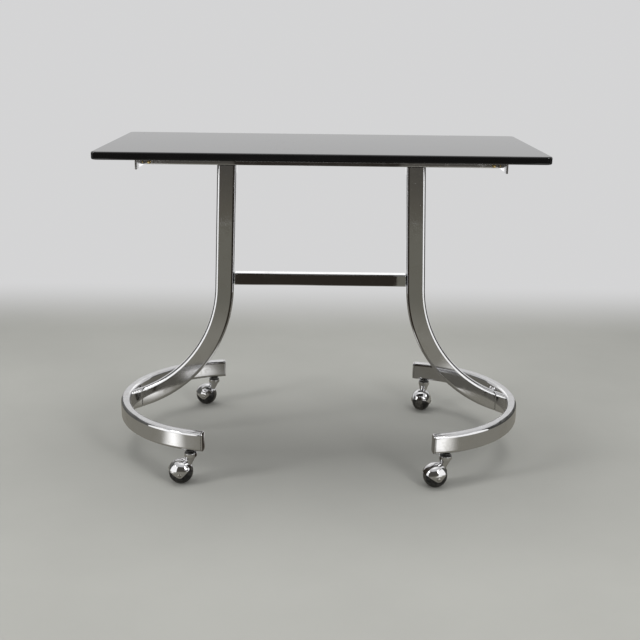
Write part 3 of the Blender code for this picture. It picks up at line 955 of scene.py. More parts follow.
@dataclass
class GlassTop:
    """The glass sheet and the four bumpers it lies on."""

    corner: float = 0.010
    corner_steps: int = 12
    corner_shoulder: float = 0.002
    edge: float = 0.0030
    edge_steps: int = 10
    face_inset: float = 0.0048
    bumper_dome: float = 0.0008

    def sheet(self) -> Mesh:
        """A flat sheet with rounded upright corners and a polished round edge.

        Each row is the outline drawn in by d at the height z. Over the edge, with angle t from the top face
        to the side, d = e (1 - sin t) and z = top - e (1 - cos t) for an edge radius e.

        Returns:
            The mesh, in place.
        """
        low, high = packed("glass_top")
        angle = np.linspace(0.0, math.pi / 2, self.edge_steps + 1)
        inset = np.r_[self.face_inset, self.edge * (1.0 - np.sin(angle))]
        drop = np.r_[0.0, self.edge * (1.0 - np.cos(angle))]
        inset = np.r_[inset, inset[::-1]]
        height = np.r_[high[2] - drop, low[2] + drop[::-1]]
        box = rectangle(*(high - low)[:2])
        outline = filleted(box, self.corner, self.corner_steps, self.corner_shoulder)
        plan = outline * (1.0 - inset[:, None, None] / np.abs(outline).max(axis=0))
        return skinned("glass", stacked(plan, height), Ends.COVERED)

    def bumper(self, node: str) -> Mesh:
        """A low round bumper with soft edges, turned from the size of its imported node."""
        low, high = packed(node)
        radius = (high[0] - low[0]) / 2
        dome = self.bumper_dome
        corners = [(0.0, high[2]), (0.0, low[2]), (radius, low[2]), (radius, high[2] - dome / 2)]
        profile = filleted(corners, [0.0, 0.0, dome / 2, dome], 5, 0.0003)
        points = turned(profile[1:], 40)
        points[..., :2] += (low[:2] + high[:2]) / 2
        return skinned("bumper", points, Ends.PLAIN)

    def build(self) -> None:
        """Builds and places the sheet and its bumpers."""
        settle("glass_sheet", self.sheet(), GLASS, FRAME_BODY, "glass_top")
        for side in Side:
            for depth in Depth:
                node = f"glass_pad_{side.word}_{depth.value}"
                settle(node + "_bumper", self.bumper(node), VINYL, FRAME_BODY, node)


@dataclass
class TopFrame:
    """The rail under the glass, the angle bars across its ends and the screws between them."""

    section: TubeSection = TubeSection(0.020, 0.028, 0.0016, 0.0025)
    ring_spacing: float = 0.06
    sheet: float = 0.004
    sheet_edge: float = 0.0008
    bend_inside: float = 0.0025
    lip: float = 0.0006
    end_draw: float = 0.6
    screw_head: float = 0.008
    screw_height: float = 0.0022
    screw_rim: float = 0.00055
    slot_length: float = 0.0096
    slot_size: Pair = (0.0012, 0.0009)
    slot_turn: float = 0.6

    def rail(self) -> Mesh:
        """The rail's rounded section carried from end to end."""
        reach = packed("top_rail")[1][0]
        grid = cross_tube("top_rail", self.section, reach, self.lip, self.ring_spacing)
        return skinned("rail", grid, Ends.JOINED)

    def end_bar(self, side: Side) -> Mesh:
        """An angle section with soft edges carried across the table, drawn in a little at both ends."""
        low, high = packed(f"end_bar_{side.word}")
        flange, _, height = high - low
        sheet, edge, bend = self.sheet, self.sheet_edge, self.bend_inside
        inside = [(sheet, -height), (sheet, -sheet), (flange, -sheet)]
        corners = [(0.0, -height), *inside, (flange, 0.0), (0.0, 0.0)]
        outline = filleted(corners, [edge, edge, bend, edge, edge, bend], 5, 0.0004)
        toward = np.array([sheet / 2, -sheet / 2]) - outline
        drawn = outline + self.end_draw * np.clip(np.abs(toward), 0.0, self.lip) * np.sign(toward)
        plans = np.stack([drawn, outline, outline, drawn])
        inner = low[0] if side is Side.RIGHT else high[0]
        x = inner + side.sign * plans[..., 0]
        reach = np.array([low[1], low[1] + self.lip, high[1] - self.lip, high[1]])
        y = np.broadcast_to(reach[:, None], x.shape)
        return skinned("end_bar", np.stack([x, y, high[2] + plans[..., 1]], axis=-1), Ends.COVERED)

    def screw(self, side: Side) -> Mesh:
        """A low domed head with a slot across it, over a short straight rim."""
        low, high = packed(f"rail_screw_{side.word}")
        radius, height, rim = self.screw_head / 2, self.screw_height, self.screw_rim
        profile = np.concatenate([domed(radius, rim, height - rim, 9), [(radius, 0.0), (0.0, 0.0)]])
        width, depth = self.slot_size
        heights = np.array([height - depth, height + depth])
        cutter = skinned("slot", stacked(rectangle(self.slot_length, width), heights), Ends.COVERED)
        head = combined(skinned("head", turned(profile, 36), Ends.PLAIN), [("DIFFERENCE", cutter)])
        head.set_sharp_from_angle(angle=math.radians(30.0))
        middle = (low + high) / 2
        place = Matrix.Translation((middle[0], low[1] + height, middle[2]))
        turn = Matrix.Rotation(math.pi / 2, 4, "X") @ Matrix.Rotation(self.slot_turn * side.sign, 4, "Z")
        return placed(head, place @ turn)

    def build(self) -> None:
        """Builds and places the rail, bars and screws."""
        settle("top_rail_tube", self.rail(), FRAME_CHROME, FRAME_BODY, "top_rail")
        for side in Side:
            bar = f"end_bar_{side.word}"
            settle(bar + "_angle", self.end_bar(side), FRAME_CHROME, FRAME_BODY, bar)
            screw = f"rail_screw_{side.word}"
            settle(screw + "_head", self.screw(side), ZINC, FRAME_BODY, screw)


@dataclass
class Legs:
    """Two legs of rectangular tube, the connectors at their ends and the stretcher between them."""

    section: TubeSection = TubeSection(0.040, 0.020, 0.0016, 0.0065)
    brace: TubeSection = TubeSection(0.025, 0.025, 0.0016, 0.003)
    brace_spacing: float = 0.04
    top_x: float = 0.1926
    lean: float = math.radians(1.87)
    end_angle: float = math.radians(69.5)
    bend_radius: float = 0.273
    connector: float = 0.029
    lip: float = 0.0006
    joint_lip: float = 0.0011
    bend_steps: int = 72
    straight_steps: int = 12
    top: float = field(init=False)
    foot_middle: float = field(init=False)

    def __post_init__(self) -> None:
        """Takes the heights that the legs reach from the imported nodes."""
        low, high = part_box("foot_right")
        self.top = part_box("leg_right")[1].z
        self.foot_middle = (low.z + high.z) / 2

    @property
    def end_direction(self) -> Array:
        """The direction in which the right leg runs out, in X, Y and Z."""
        return np.array([math.sin(self.end_angle), 0.0, -math.cos(self.end_angle)])

    def path(self) -> Path:
        """The right leg's centre line: a leaning straight, then one arc.

        With the angle a from straight down, the arc runs from the lean to the end angle about a centre
        outside the leg: x = cx - R cos a, z = cz - R sin a.

        Returns:
            The path, from the top to the joint with the connector.
        """
        radius = self.bend_radius
        drop = radius * (math.sin(self.end_angle) - math.sin(self.lean))
        bend_top = self.foot_middle + self.connector * math.cos(self.end_angle) + drop
        bend_x = self.top_x + (self.top - bend_top) * math.tan(self.lean)
        centre_x = bend_x + radius * math.cos(self.lean)
        centre_z = bend_top + radius * math.sin(self.lean)
        angle = np.linspace(self.lean, self.end_angle, self.bend_steps + 1)
        angle = np.r_[angle[:-2], self.end_angle - self.lip / radius, self.end_angle]
        arc = np.stack([centre_x - radius * np.cos(angle), centre_z - radius * np.sin(angle)], axis=-1)
        share = np.r_[0.0, np.linspace(0.01, 1.0, self.straight_steps, endpoint=False)][:, None]
        straight = (1.0 - share) * (self.top_x, self.top) + share * arc[0]
        plan = np.concatenate([straight, arc])
        turn = np.r_[np.full(len(straight), self.lean), angle]
        level = np.zeros(len(turn))
        points = np.stack([plan[:, 0], level, plan[:, 1]], axis=-1)
        widths = np.stack([np.cos(turn), level, np.sin(turn)], axis=-1)
        return Path(points, widths, np.tile([0.0, 1.0, 0.0], (len(turn), 1)))

    def leg(self) -> Array:
        """The right leg's wall: top cut level, end cut upright, with a soft edge at the joint."""
        path = self.path()
        grid = hollow_grid(path, self.section, self.lip)
        last = len(path.points) - 1
        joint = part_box("leg_right")[1].x
        grid[last] = path.carry(self.section.outline(self.joint_lip), np.array([last]))[0]
        for row, face in ((last - 1, joint - self.joint_lip), (last, joint), (last + 1, joint)):
            grid[row] = self.upright_cut(grid[row], face)
        down = np.array([math.sin(self.lean), 0.0, -math.cos(self.lean)])
        level = np.array([0.0, 0.0, self.top])
        upright = np.array([0.0, 0.0, 1.0])
        grid[0] = slid(path.carry(self.section.outline(), np.array([0]))[0], down, level, upright)
        grid[-1] = slid(grid[-1], down, level, upright)
        return grid

    def upright_cut(self, row: Array, face: float) -> Array:
        """A row of the leg's end slid along the leg onto the upright plane x = face."""
        return slid(row, self.end_direction, np.array([face, 0.0, 0.0]), np.array([1.0, 0.0, 0.0]))

    def connector_rows(self) -> Array:
        """The right connector's outside, from its lip at the leg to the flat end at the foot."""
        low, high = (end.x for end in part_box("leg_connector_right"))
        start = self.path().points[-1]
        across = np.array([math.cos(self.end_angle), 0.0, math.sin(self.end_angle)])
        path = straight_path(start, start + self.end_direction, across, np.zeros(4))
        rows = path.carry(self.section.outline())
        rows[0] = path.carry(self.section.outline(self.joint_lip), np.array([0]))[0]
        faces = (low, low + self.joint_lip, (low + high) / 2, high)
        return np.stack([self.upright_cut(row, face) for row, face in zip(rows, faces)])

    def stretcher(self) -> Mesh:
        """The square brace, its ends cut to the lean of the legs: x moves by -z tan(lean) at each end."""
        low, high = packed("stretcher")
        slope = math.tan(self.lean)
        reach = high[0] - slope * self.brace.width / 2
        grid = cross_tube("stretcher", self.brace, reach, self.lip, self.brace_spacing)
        shift = (grid[..., 2] - (low[2] + high[2]) / 2) * slope
        grid[..., 0] -= np.sign(grid[..., 0]) * shift * (np.abs(grid[..., 0]) > reach / 2)
        return skinned("stretcher", grid, Ends.JOINED)

    def build(self) -> None:
        """Builds and places both legs, the connectors and the stretcher."""
        leg = self.leg()
        connector = self.connector_rows()
        for side in Side:
            node = f"leg_{side.word}"
            tube = skinned(node, moved(leg, side.matrix), Ends.JOINED)
            settle(node + "_tube", tube, LEG_CHROME, FRAME_BODY, node)
            node = f"leg_connector_{side.word}"
            block = skinned(node, moved(connector, side.matrix), Ends.COVERED)
            settle(node + "_block", block, LEG_CHROME, FRAME_BODY, node)
        settle("stretcher_tube", self.stretcher(), LEG_CHROME, FRAME_BODY, "stretcher")


@dataclass
class Feet:
    """Two feet of tube on edge, bent to an open C, and the covers on their ends."""

    section: TubeSection = TubeSection(0.020, 0.040, 0.0016, 0.0065)
    radius: float = 0.227
    half_arc: float = math.radians(80.0)
    facet_half: float = math.radians(4.0)
    facet_share: float = 0.1
    lip: float = 0.0006
    gap: float = 0.0003
    arc_steps: int = 120
    cover: float = 0.004
    cover_edge: float = 0.0022
    cover_crown: float = 0.0007
    cover_steps: int = 7
    centre_x: float = field(init=False)
    middle: float = field(init=False)

    def __post_init__(self) -> None:
        """Takes the feet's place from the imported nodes, inside them by a share of a facet's bulge."""
        low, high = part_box("foot_right")
        outside = self.radius + self.section.width / 2
        bulge = outside * (1.0 / math.cos(self.facet_half) - 1.0)
        self.centre_x = high.x - self.facet_share * bulge - outside
        self.middle = (low.z + high.z) / 2

    def tube(self) -> Array:
        """The right foot's wall: the section carried round the arc x = cx + R cos a, y = R sin a."""
        last = self.half_arc - self.lip / self.radius
        angle = np.r_[-self.half_arc, np.linspace(-last, last, self.arc_steps + 1), self.half_arc]
        out = np.stack([np.cos(angle), np.sin(angle), np.zeros(len(angle))], axis=-1)
        points = self.radius * out + (self.centre_x, 0.0, self.middle)
        path = Path(points, out, np.tile([0.0, 0.0, 1.0], (len(angle), 1)))
        return hollow_grid(path, self.section, self.lip)

    def cover_rows(self) -> Array:
        """A cover that points along +X: outline drawn in by d at height h.

        Up the side h grows at d = 0; round the edge of radius e, d = e (1 - cos t) and h = s + e sin t;
        over the face the crown rises by c (1 - q^2), with q from 1 at the edge to 0 in the middle.

        Returns:
            A grid of points about the end of the tube.
        """
        edge = self.cover_edge
        side = self.cover - self.cover_crown - edge
        angle = np.linspace(0.0, math.pi / 2, self.cover_steps)[1:]
        share = np.linspace(0.9, 0.1, self.cover_steps)
        half = np.array([self.section.width, self.section.thickness]) / 2
        face = edge + (half.min() - edge) * (1.0 - share)
        inset = np.r_[self.lip, 0.0, 0.0, edge * (1.0 - np.cos(angle)), face]
        crown = side + edge + self.cover_crown * (1.0 - share ** 2)
        height = np.r_[0.0, self.lip, side, side + edge * np.sin(angle), crown]
        plan = self.section.outline() * np.clip(1.0 - inset[:, None, None] / half, 0.02, 1.0)
        return np.roll(stacked(plan, height + self.gap), 1, axis=-1)

    def build(self) -> None:
        """Builds and places both feet and the four covers."""
        tube = self.tube()
        cover = self.cover_rows()
        for side in Side:
            node = f"foot_{side.word}"
            mesh = skinned(node, moved(tube, side.matrix), Ends.JOINED)
            settle(node + "_tube", mesh, FOOT_CHROME, FRAME_BODY, node)
            for end in (-1.0, 1.0):
                angle = end * self.half_arc
                x = self.centre_x + self.radius * math.cos(angle)
                y = self.radius * math.sin(angle)
                facing = Matrix.Rotation(end * (self.half_arc + math.pi / 2), 4, "Z")
                place = side.matrix @ Matrix.Translation((x, y, self.middle)) @ facing
                depth = Depth.FRONT if place.translation.y < 0.0 else Depth.BACK
                node = f"foot_cap_{side.word}_{depth.value}"
                mesh = skinned(node, moved(cover, place), Ends.COVERED)
                settle(node + "_cover", mesh, FOOT_CHROME, FRAME_BODY, node)


@dataclass
class Casters:
    """Four casters: bush, seal, hood with a leaning cup for a neck, riveted axle and ball-shaped wheel."""

    wheel_radius: float = 0.0238
    wheel_half: float = 0.0205
    squareness: float = 2.3
    running_gap: float = 0.0010
    hood_wall: float = 0.0012
    hood_bevel: float = 0.00036
    hollow_wall: float = 0.00126
    tip_drop: float = 0.0043
    tip_half: float = 0.0050
    tip_round: float = 0.0015
    tip_power: float = 16.0
    far_rise: float = 0.0090
    near_rise: float = 0.0165
    trail: float = 0.0200
    collar: Pair = (0.0125, 0.0065)
    neck_low: Pair = (0.0068, 0.5)
    neck_waist: Pair = (0.0100, 0.0060)
    neck_shift: float = 0.0065
    axle: float = 0.0025
    rivet: Pair = (0.0037, 0.0011)
    gap: float = 0.0003
    tread_half: float = 0.0120
    tread_step: float = 0.0004
    tread_rise: float = 0.0012
    tread_groove: Pair = (0.0006, 0.00035)
    ring_bore: float = 0.0044
    ring_slack: float = 0.00005
    ring_groove: float = 0.72
    groove_size: Pair = (0.0006, 0.0003)
    ring_steps: int = 96
    cheek_steps: int = 26

    @property
    def hood_radius(self) -> float:
        """Outer radius of the hood's ball, seen from the side."""
        return self.wheel_radius + self.running_gap + self.hood_wall

    @property
    def hood_half(self) -> float:
        """Half the hood's outer width."""
        return self.wheel_half + self.running_gap + self.hood_wall

    def rim_reach(self, angle: Array) -> Array:
        """Distance from the axle to the hood's rim along each direction.

        The rim is a V of two lines that pass (h, -d) with slopes k, cut flat under its tip: along the angle
        a, a line is met at (d + k h) / (k |cos a| - sin a), and the flat at (d + q) / (-sin a). The least
        of the three, softened by a power mean, rounds the corners.

        Args:
            angle: directions from the axle, from +X up.

        Returns:
            Distances, very long where a line is never met.
        """
        drop, half = self.tip_drop, self.tip_half
        run = self.hood_radius - half
        reaches = []
        for sign, rise in ((-1.0, self.near_rise), (1.0, self.far_rise)):
            slope = (rise + drop) / run
            ahead = np.maximum(slope * sign * np.cos(angle) - np.sin(angle), 1e-6)
            reaches.append((drop + slope * half) / ahead)
        reaches.append((drop + self.tip_round) / np.maximum(-np.sin(angle), 1e-6))
        return (np.stack(reaches) ** -self.tip_power).sum(axis=0) ** (-1.0 / self.tip_power)

    def hood_angles(self) -> Array:
        """Directions round the axle, one of them where the rim leaves the hood's ridge on either side."""
        dense = np.linspace(-math.pi / 2, 1.5 * math.pi, 20001)
        kept = dense[self.rim_reach(dense) >= self.hood_radius]
        over = np.linspace(kept[0], kept[-1], 64)
        under = np.linspace(kept[-1], kept[0] + 2.0 * math.pi, 72)
        return np.r_[over, under[1:-1]]

    def cheek(self, sign: float) -> Array:
        """One cheek of the hood as rings about the axle.

        The ball is a squared round: at parameter t, r = R sin(t)^(2/n) and y = W cos(t)^(2/n). Along each
        direction t runs from the axle hole to the rim, or to the ridge at y = 0 where the rim lies past it.

        Args:
            sign: +1 or -1, the side of the hood.

        Returns:
            A grid of points about the axle's middle.
        """
        angle = self.hood_angles()
        power = 2.0 / self.squareness
        reach = np.minimum(self.rim_reach(angle) / self.hood_radius, 1.0)
        last = np.arcsin(reach ** (1.0 / power))
        first = math.asin(((self.axle + self.gap) / self.hood_radius) ** (1.0 / power))
        share = np.linspace(0.0, 1.0, self.cheek_steps + 1)[:, None]
        t = first + (last - first) * share
        radius = self.hood_radius * np.sin(t) ** power
        across = sign * self.hood_half * np.maximum(np.cos(t), 0.0) ** power
        return np.stack([radius * np.cos(angle), across, radius * np.sin(angle)], axis=-1)

    def ball(self, radius: float, half: float, steps: int = 40) -> Array:
        """Profile of a squared ball from pole to pole, as (radius, height)."""
        power = 2.0 / self.squareness
        t = np.linspace(0.0, math.pi, steps + 1)
        height = half * np.sign(np.cos(t)) * np.abs(np.cos(t)) ** power
        return np.stack([radius * np.sin(t).clip(0.0) ** power, height], axis=-1)

    def shell(self, centre: Matrix) -> Mesh:
        """Both cheeks as one sheet about the axle, given its wall inwards, with soft edges."""
        skin = Skin()
        skin.grid(moved(self.cheek(1.0), centre))
        skin.grid(moved(self.cheek(-1.0)[:, ::-1], centre))
        surface = skin.mesh("hood", closed=False)
        weld(surface, distance=1e-6)
        normals, middles = np.empty((2, len(surface.polygons) * 3))
        surface.polygons.foreach_get("normal", normals)
        surface.polygons.foreach_get("center", middles)
        outward = middles.reshape(-1, 3) - np.array(centre.translation)
        if (outward * normals.reshape(-1, 3)).sum() < 0.0:
            surface.flip_normals()
        thick = {
            "thickness": self.hood_wall, "offset": -1.0,
            "use_even_offset": True, "use_quality_normals": True,
        }
        soft = {
            "width": self.hood_bevel, "segments": 2,
            "limit_method": "ANGLE", "angle_limit": math.radians(50.0),
        }
        return evaluated(surface, [("SOLIDIFY", thick), ("BEVEL", soft)])

    def neck(self, neck_top: float, centre: Matrix) -> Mesh:
        """The collar and the cup under it, which leans towards the wheel, with the hood's hollow cut out.

        Args:
            neck_top: height of the collar's upper face.
            centre: place of the wheel's middle.

        Returns:
            The mesh in the caster's own frame.
        """
        collar_radius, collar_height = self.collar
        low_radius, low_share = self.neck_low
        waist_radius, waist_drop = self.neck_waist
        low = self.wheel_radius + self.hood_radius * low_share
        under = neck_top - collar_height
        waist = (waist_radius, under - waist_drop)
        collar = [(collar_radius, under), (collar_radius, neck_top)]
        corners = [(0.0, neck_top), (0.0, low), (low_radius, low), waist, *collar]
        cup = turned(filleted(corners, [0.0, 0.0, 0.0, 0.012, 0.0012, 0.0006], 6, 0.0002)[1:], 72)
        cup[..., 0] += self.neck_shift * np.clip((under - cup[..., 2]) / (under - low), 0.0, None)
        wall = self.hollow_wall
        hollow = turned(self.ball(self.hood_radius - wall, self.hood_half - wall), 72)
        hollow = moved(hollow, centre @ Matrix.Rotation(math.pi / 2, 4, "X"))
        cavity = skinned("cavity", hollow, Ends.PLAIN)
        return combined(skinned("neck", cup, Ends.PLAIN), [("DIFFERENCE", cavity)])

    def hood(self, neck_top: float) -> Mesh:
        """The hood shell, its neck and its collar as one body, about the stem.

        Args:
            neck_top: height of the collar's upper face.

        Returns:
            The mesh in the caster's own frame: stem on Z, wheel trailing along +X.
        """
        centre = Matrix.Translation((self.trail, 0.0, self.wheel_radius))
        whole = combined(self.shell(centre), [("UNION", self.neck(neck_top, centre))])
        weld(whole, distance=2e-6)
        whole.shade_smooth()
        whole.set_sharp_from_angle(angle=math.radians(34.0))
        return whole

    def wheel(self) -> Mesh:
        """The wheel about its axle: a squared ball with a tread band that stands a little proud.

        Away from the band the radius is drawn in by the tread step s, over a smooth rise q from 0 to 1 and
        a narrow groove g beside the band: s (q^2 (3 - 2 q) + g), g = exp(-((y - place) / width)^2).

        Returns:
            The mesh about the axle's middle, axle along Z.
        """
        profile = self.ball(self.wheel_radius, self.wheel_half, 96)
        off = np.abs(profile[:, 1]) - self.tread_half
        rise = np.clip(off / self.tread_rise, 0.0, 1.0)
        place, width = self.tread_groove
        groove = np.exp(-((off - place) / width) ** 2)
        inset = self.tread_step * (rise ** 2 * (3.0 - 2.0 * rise) + groove)
        profile[:, 0] = np.maximum(profile[:, 0] - inset, 0.0)
        bore = self.axle + self.gap
        kept = profile[profile[:, 0] > bore]
        face = kept[0, 1]
        profile = np.concatenate([[(bore, face)], kept, [(bore, -face)]])
        return skinned("wheel", turned(profile, self.ring_steps), Ends.JOINED)

    def axle_pin(self) -> Mesh:
        """The axle with a low domed rivet head outside each cheek."""
        radius, height = self.rivet
        face = self.hood_half + self.gap
        upper = np.concatenate([domed(radius, face, height, 8), [(self.axle, face)]])
        lower = upper[::-1] * (1.0, -1.0)
        return skinned("axle", turned(np.concatenate([upper, lower]), 40), Ends.PLAIN)

    def ring(self, node: str, high: float) -> Mesh:
        """A flat ring with soft edges and a shallow turned groove, round the stem.

        Args:
            node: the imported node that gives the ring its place, width and underside.
            high: height of its upper face.

        Returns:
            The mesh, in place.
        """
        low, far = packed(node)
        radius = (far[0] - low[0]) / 2 - self.ring_slack
        groove = radius * self.ring_groove
        half, depth = self.groove_size
        bottom = [(self.ring_bore, high), (self.ring_bore, low[2]), (radius, low[2]), (radius, high)]
        dip = [(groove + half, high), (groove, high - depth), (groove - half, high)]
        radii = [0.0003, 0.0003, 0.0003, 0.0006, 0.0002, 0.0002, 0.0002]
        points = turned(filleted(bottom + dip, radii, 3, 0.0001), 64)
        points[..., :2] += (low[:2] + far[:2]) / 2
        return skinned("ring", points, Ends.JOINED)

    def build(self) -> None:
        """Builds the shapes once and places them at each stem, turned to where its wheel trails."""
        joints = {joint["name"]: joint for joint in frame["joints"]}
        hood = self.hood(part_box("caster_hood_left_front")[1].z)
        wheel = self.wheel()
        pin = self.axle_pin()
        upright = Matrix.Rotation(math.pi / 2, 4, "X")
        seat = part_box("foot_right")[0].z - self.gap
        for side in Side:
            for depth in Depth:
                corner = f"{side.word}_{depth.value}"
                stem = Vector(joints["swivel_" + corner]["pos_m"])
                hub = Vector(joints["spin_" + corner]["pos_m"])
                turn = Matrix.Rotation(math.atan2(hub.y - stem.y, hub.x - stem.x), 4, "Z")
                swivel = Matrix.Translation((stem.x, stem.y, 0.0)) @ turn
                across = Matrix.Translation(hub) @ turn @ upright
                carrier = "caster_" + corner
                node = "caster_hood_" + corner
                settle(node + "_shell", placed(hood, swivel), HOOD_CHROME, carrier, node)
                node = "caster_axle_" + corner
                settle(node + "_rivets", placed(pin, across), STEEL, carrier, node)
                node = "caster_wheel_" + corner
                settle(node + "_ball", placed(wheel, across), RUBBER, "wheel_" + corner, node)
                node = "caster_seal_" + corner
                settle(node + "_ring", self.ring(node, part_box(node)[1].z), PLASTIC, carrier, node)
                node = "caster_socket_" + corner
                settle(node + "_flange", self.ring(node, seat), PLASTIC, FRAME_BODY, node)
                shown = frame["nodes"]["caster_stem_" + corner]
                shown.data.materials.clear()
                shown.data.materials.append(STEEL.material())
                LOG.info("caster_stem_%s keeps its solid: %s", corner, STEEL.name)


# Studio


@dataclass(frozen=True)
class PhotoCamera:
    """The photograph's camera: focal length in pixels of a square frame, place, pitch and roll."""

    focal_pixels: float = 983.0
    frame_pixels: float = 640.0
    place: Point = (0.0006, -2.0129, 0.8555)
    pitch: float = math.radians(16.03)
    roll: float = math.radians(0.684)
    sensor: float = 36.0

    def build(self) -> None:
        """Makes the camera: its right axis tips up by the roll, and it looks down by the pitch."""
        data = bpy.data.cameras.new("photo_camera")
        data.sensor_width = self.sensor
        data.lens = self.focal_pixels / self.frame_pixels * self.sensor
        camera = linked("photo_camera", data)
        tilt = Matrix.Rotation(math.pi / 2 - self.pitch, 4, "X") @ Matrix.Rotation(self.roll, 4, "Z")
        camera.matrix_world = Matrix.Translation(self.place) @ tilt
        bpy.context.scene.camera = camera


@dataclass(frozen=True)
class SoftBox:
    """A soft rectangular lamp that looks at a point, unseen by the camera and if need be by mirrors."""

    name: str
    place: Point
    target: Point
    size: Pair
    power: float
    mirrored: bool = True

    def build(self) -> None:
        """Makes the lamp."""
        data = bpy.data.lights.new(self.name, "AREA")
        data.shape = "RECTANGLE"
        data.size, data.size_y = self.size
        data.energy = self.power
        lamp = linked(self.name, data)
        lamp.location = self.place
        lamp.rotation_euler = (Vector(self.target) - Vector(self.place)).to_track_quat("-Z", "Y").to_euler()
        lamp.visible_camera = False
        lamp.visible_glossy = self.mirrored


@dataclass(frozen=True)
class MirrorCard:
    """A cloth or card round the table that only mirrors see, its colour running from edge to edge."""

    name: str
    turn: Pair
    first: Pair
    last: Pair
    start: Colour
    end: Colour
    fade: Pair

    def points(self) -> Array:
        """At the turn a from the front, x = r sin a and y = -r cos a, with (r, z) from first to last."""
        turn = np.radians(np.linspace(*self.turn, 65))
        share = np.linspace(0.0, 1.0, 25)[:, None]
        reach, height = (a + (b - a) * share for a, b in zip(self.first, self.last))
        return np.stack([reach * np.sin(turn), -reach * np.cos(turn), height + 0.0 * turn], axis=-1)

    def colour(self, board: Board) -> Socket:
        """The colour along the surface map's height, in metres from the first edge."""
        along = board.axis(board.node("UVMap", uv_map=SURFACE_MAP).outputs["UV"], "Y")
        return board.blend(board.span(along, *self.fade), self.start, self.end)

    def build(self) -> None:
        """Makes the card, which glows by itself and lights nothing."""
        skin = Skin()
        skin.grid(self.points(), close_columns=False)
        card = linked(self.name, skin.mesh(self.name, closed=False))
        made, board = fresh_material(self.name)
        nodes = made.node_tree.nodes
        nodes.remove(nodes["Principled BSDF"])
        glow = board.node("Emission", {"Color": self.colour(board), "Strength": 1.0})
        board.fill(nodes["Material Output"], {"Surface": glow.outputs[0]})
        card.data.materials.append(made)
        card.visible_camera = False
        card.visible_diffuse = False
        card.visible_transmission = False
        card.visible_shadow = False


@dataclass(frozen=True)
class FloorSheen:
    """A soft painted sheen on the floor: its turn from the front and half width in degrees, and its glow.
    """

    turn: float
    half: float
    glow: float


@dataclass(frozen=True)
class FloorCloth(MirrorCard):
    """A painted reflection of the floor that only mirrors see: painted shade under the table, soft painted
    sheens on it.

    The painted sheens lie before the feet, and a round painted bright spot under the table puts a painted
    highlight on the end of the left foot's back.
    """

    # Painted shade: the floor under the table as mirrors see it, darker than round it.
    under: Colour = (0.15, 0.144, 0.125)
    under_fade: Pair = (0.25, 0.45)
    behind: Colour = (0.85, 0.85, 0.86)
    behind_fade: Pair = (0.75, 1.15)
    rise: Pair = (0.47, 0.53)
    fall: Pair = (0.70, 0.85)
    # Painted sheens: soft bright streaks on the floor as mirrors see it, before the feet.
    sheens: tuple[FloorSheen, ...] = (
        FloorSheen(-54.5, 8.5, 1.1),
        FloorSheen(-52.0, 18.0, 0.10),
        FloorSheen(40.6, 11.6, 1.1),
    )
    # Painted bright spot under the table, a painted highlight on the left foot's back end.
    spot: Point = (-0.073, 0.02, 0.001)
    spot_fade: Pair = (0.03, 0.11)
    spot_glow: float = 0.95

    def colour(self, board: Board) -> Socket:
        """Rings about the table's middle in three colours, the inner one painted shade, pale behind it,
        with painted sheens and spot added.
        """
        coords = board.node("TexCoord").outputs["Object"]
        reach = board.vector("LENGTH", coords)
        x, y, _ = board.node("SeparateXYZ", {0: coords}).outputs
        turn = board.math("DEGREES", board.math("ARCTAN2", x, board.share(y, -1.0)))
        # Painted shade under the table, then the near colour, then darker farther out.
        colour = board.blend(board.span(reach, *self.under_fade), self.under, self.start)
        colour = board.blend(board.span(reach, *self.fade), colour, self.end)
        colour = board.blend(board.span(y, *self.behind_fade), colour, self.behind)
        # Painted sheens, then the painted bright spot, added to the colour.
        window = board.share(board.span(reach, *self.rise), board.span(reach, *self.fall, 1.0, 0.0))
        for sheen in self.sheens:
            aside = board.math("ABSOLUTE", board.math("SUBTRACT", turn, sheen.turn))
            mask = board.share(board.span(aside, 0.0, sheen.half, 1.0, 0.0), window)
            colour = board.vector("ADD", colour, board.share(mask, sheen.glow))
        away = board.vector("DISTANCE", coords, self.spot)
        return board.vector("ADD", colour, board.span(away, *self.spot_fade, self.spot_glow, 0.0))


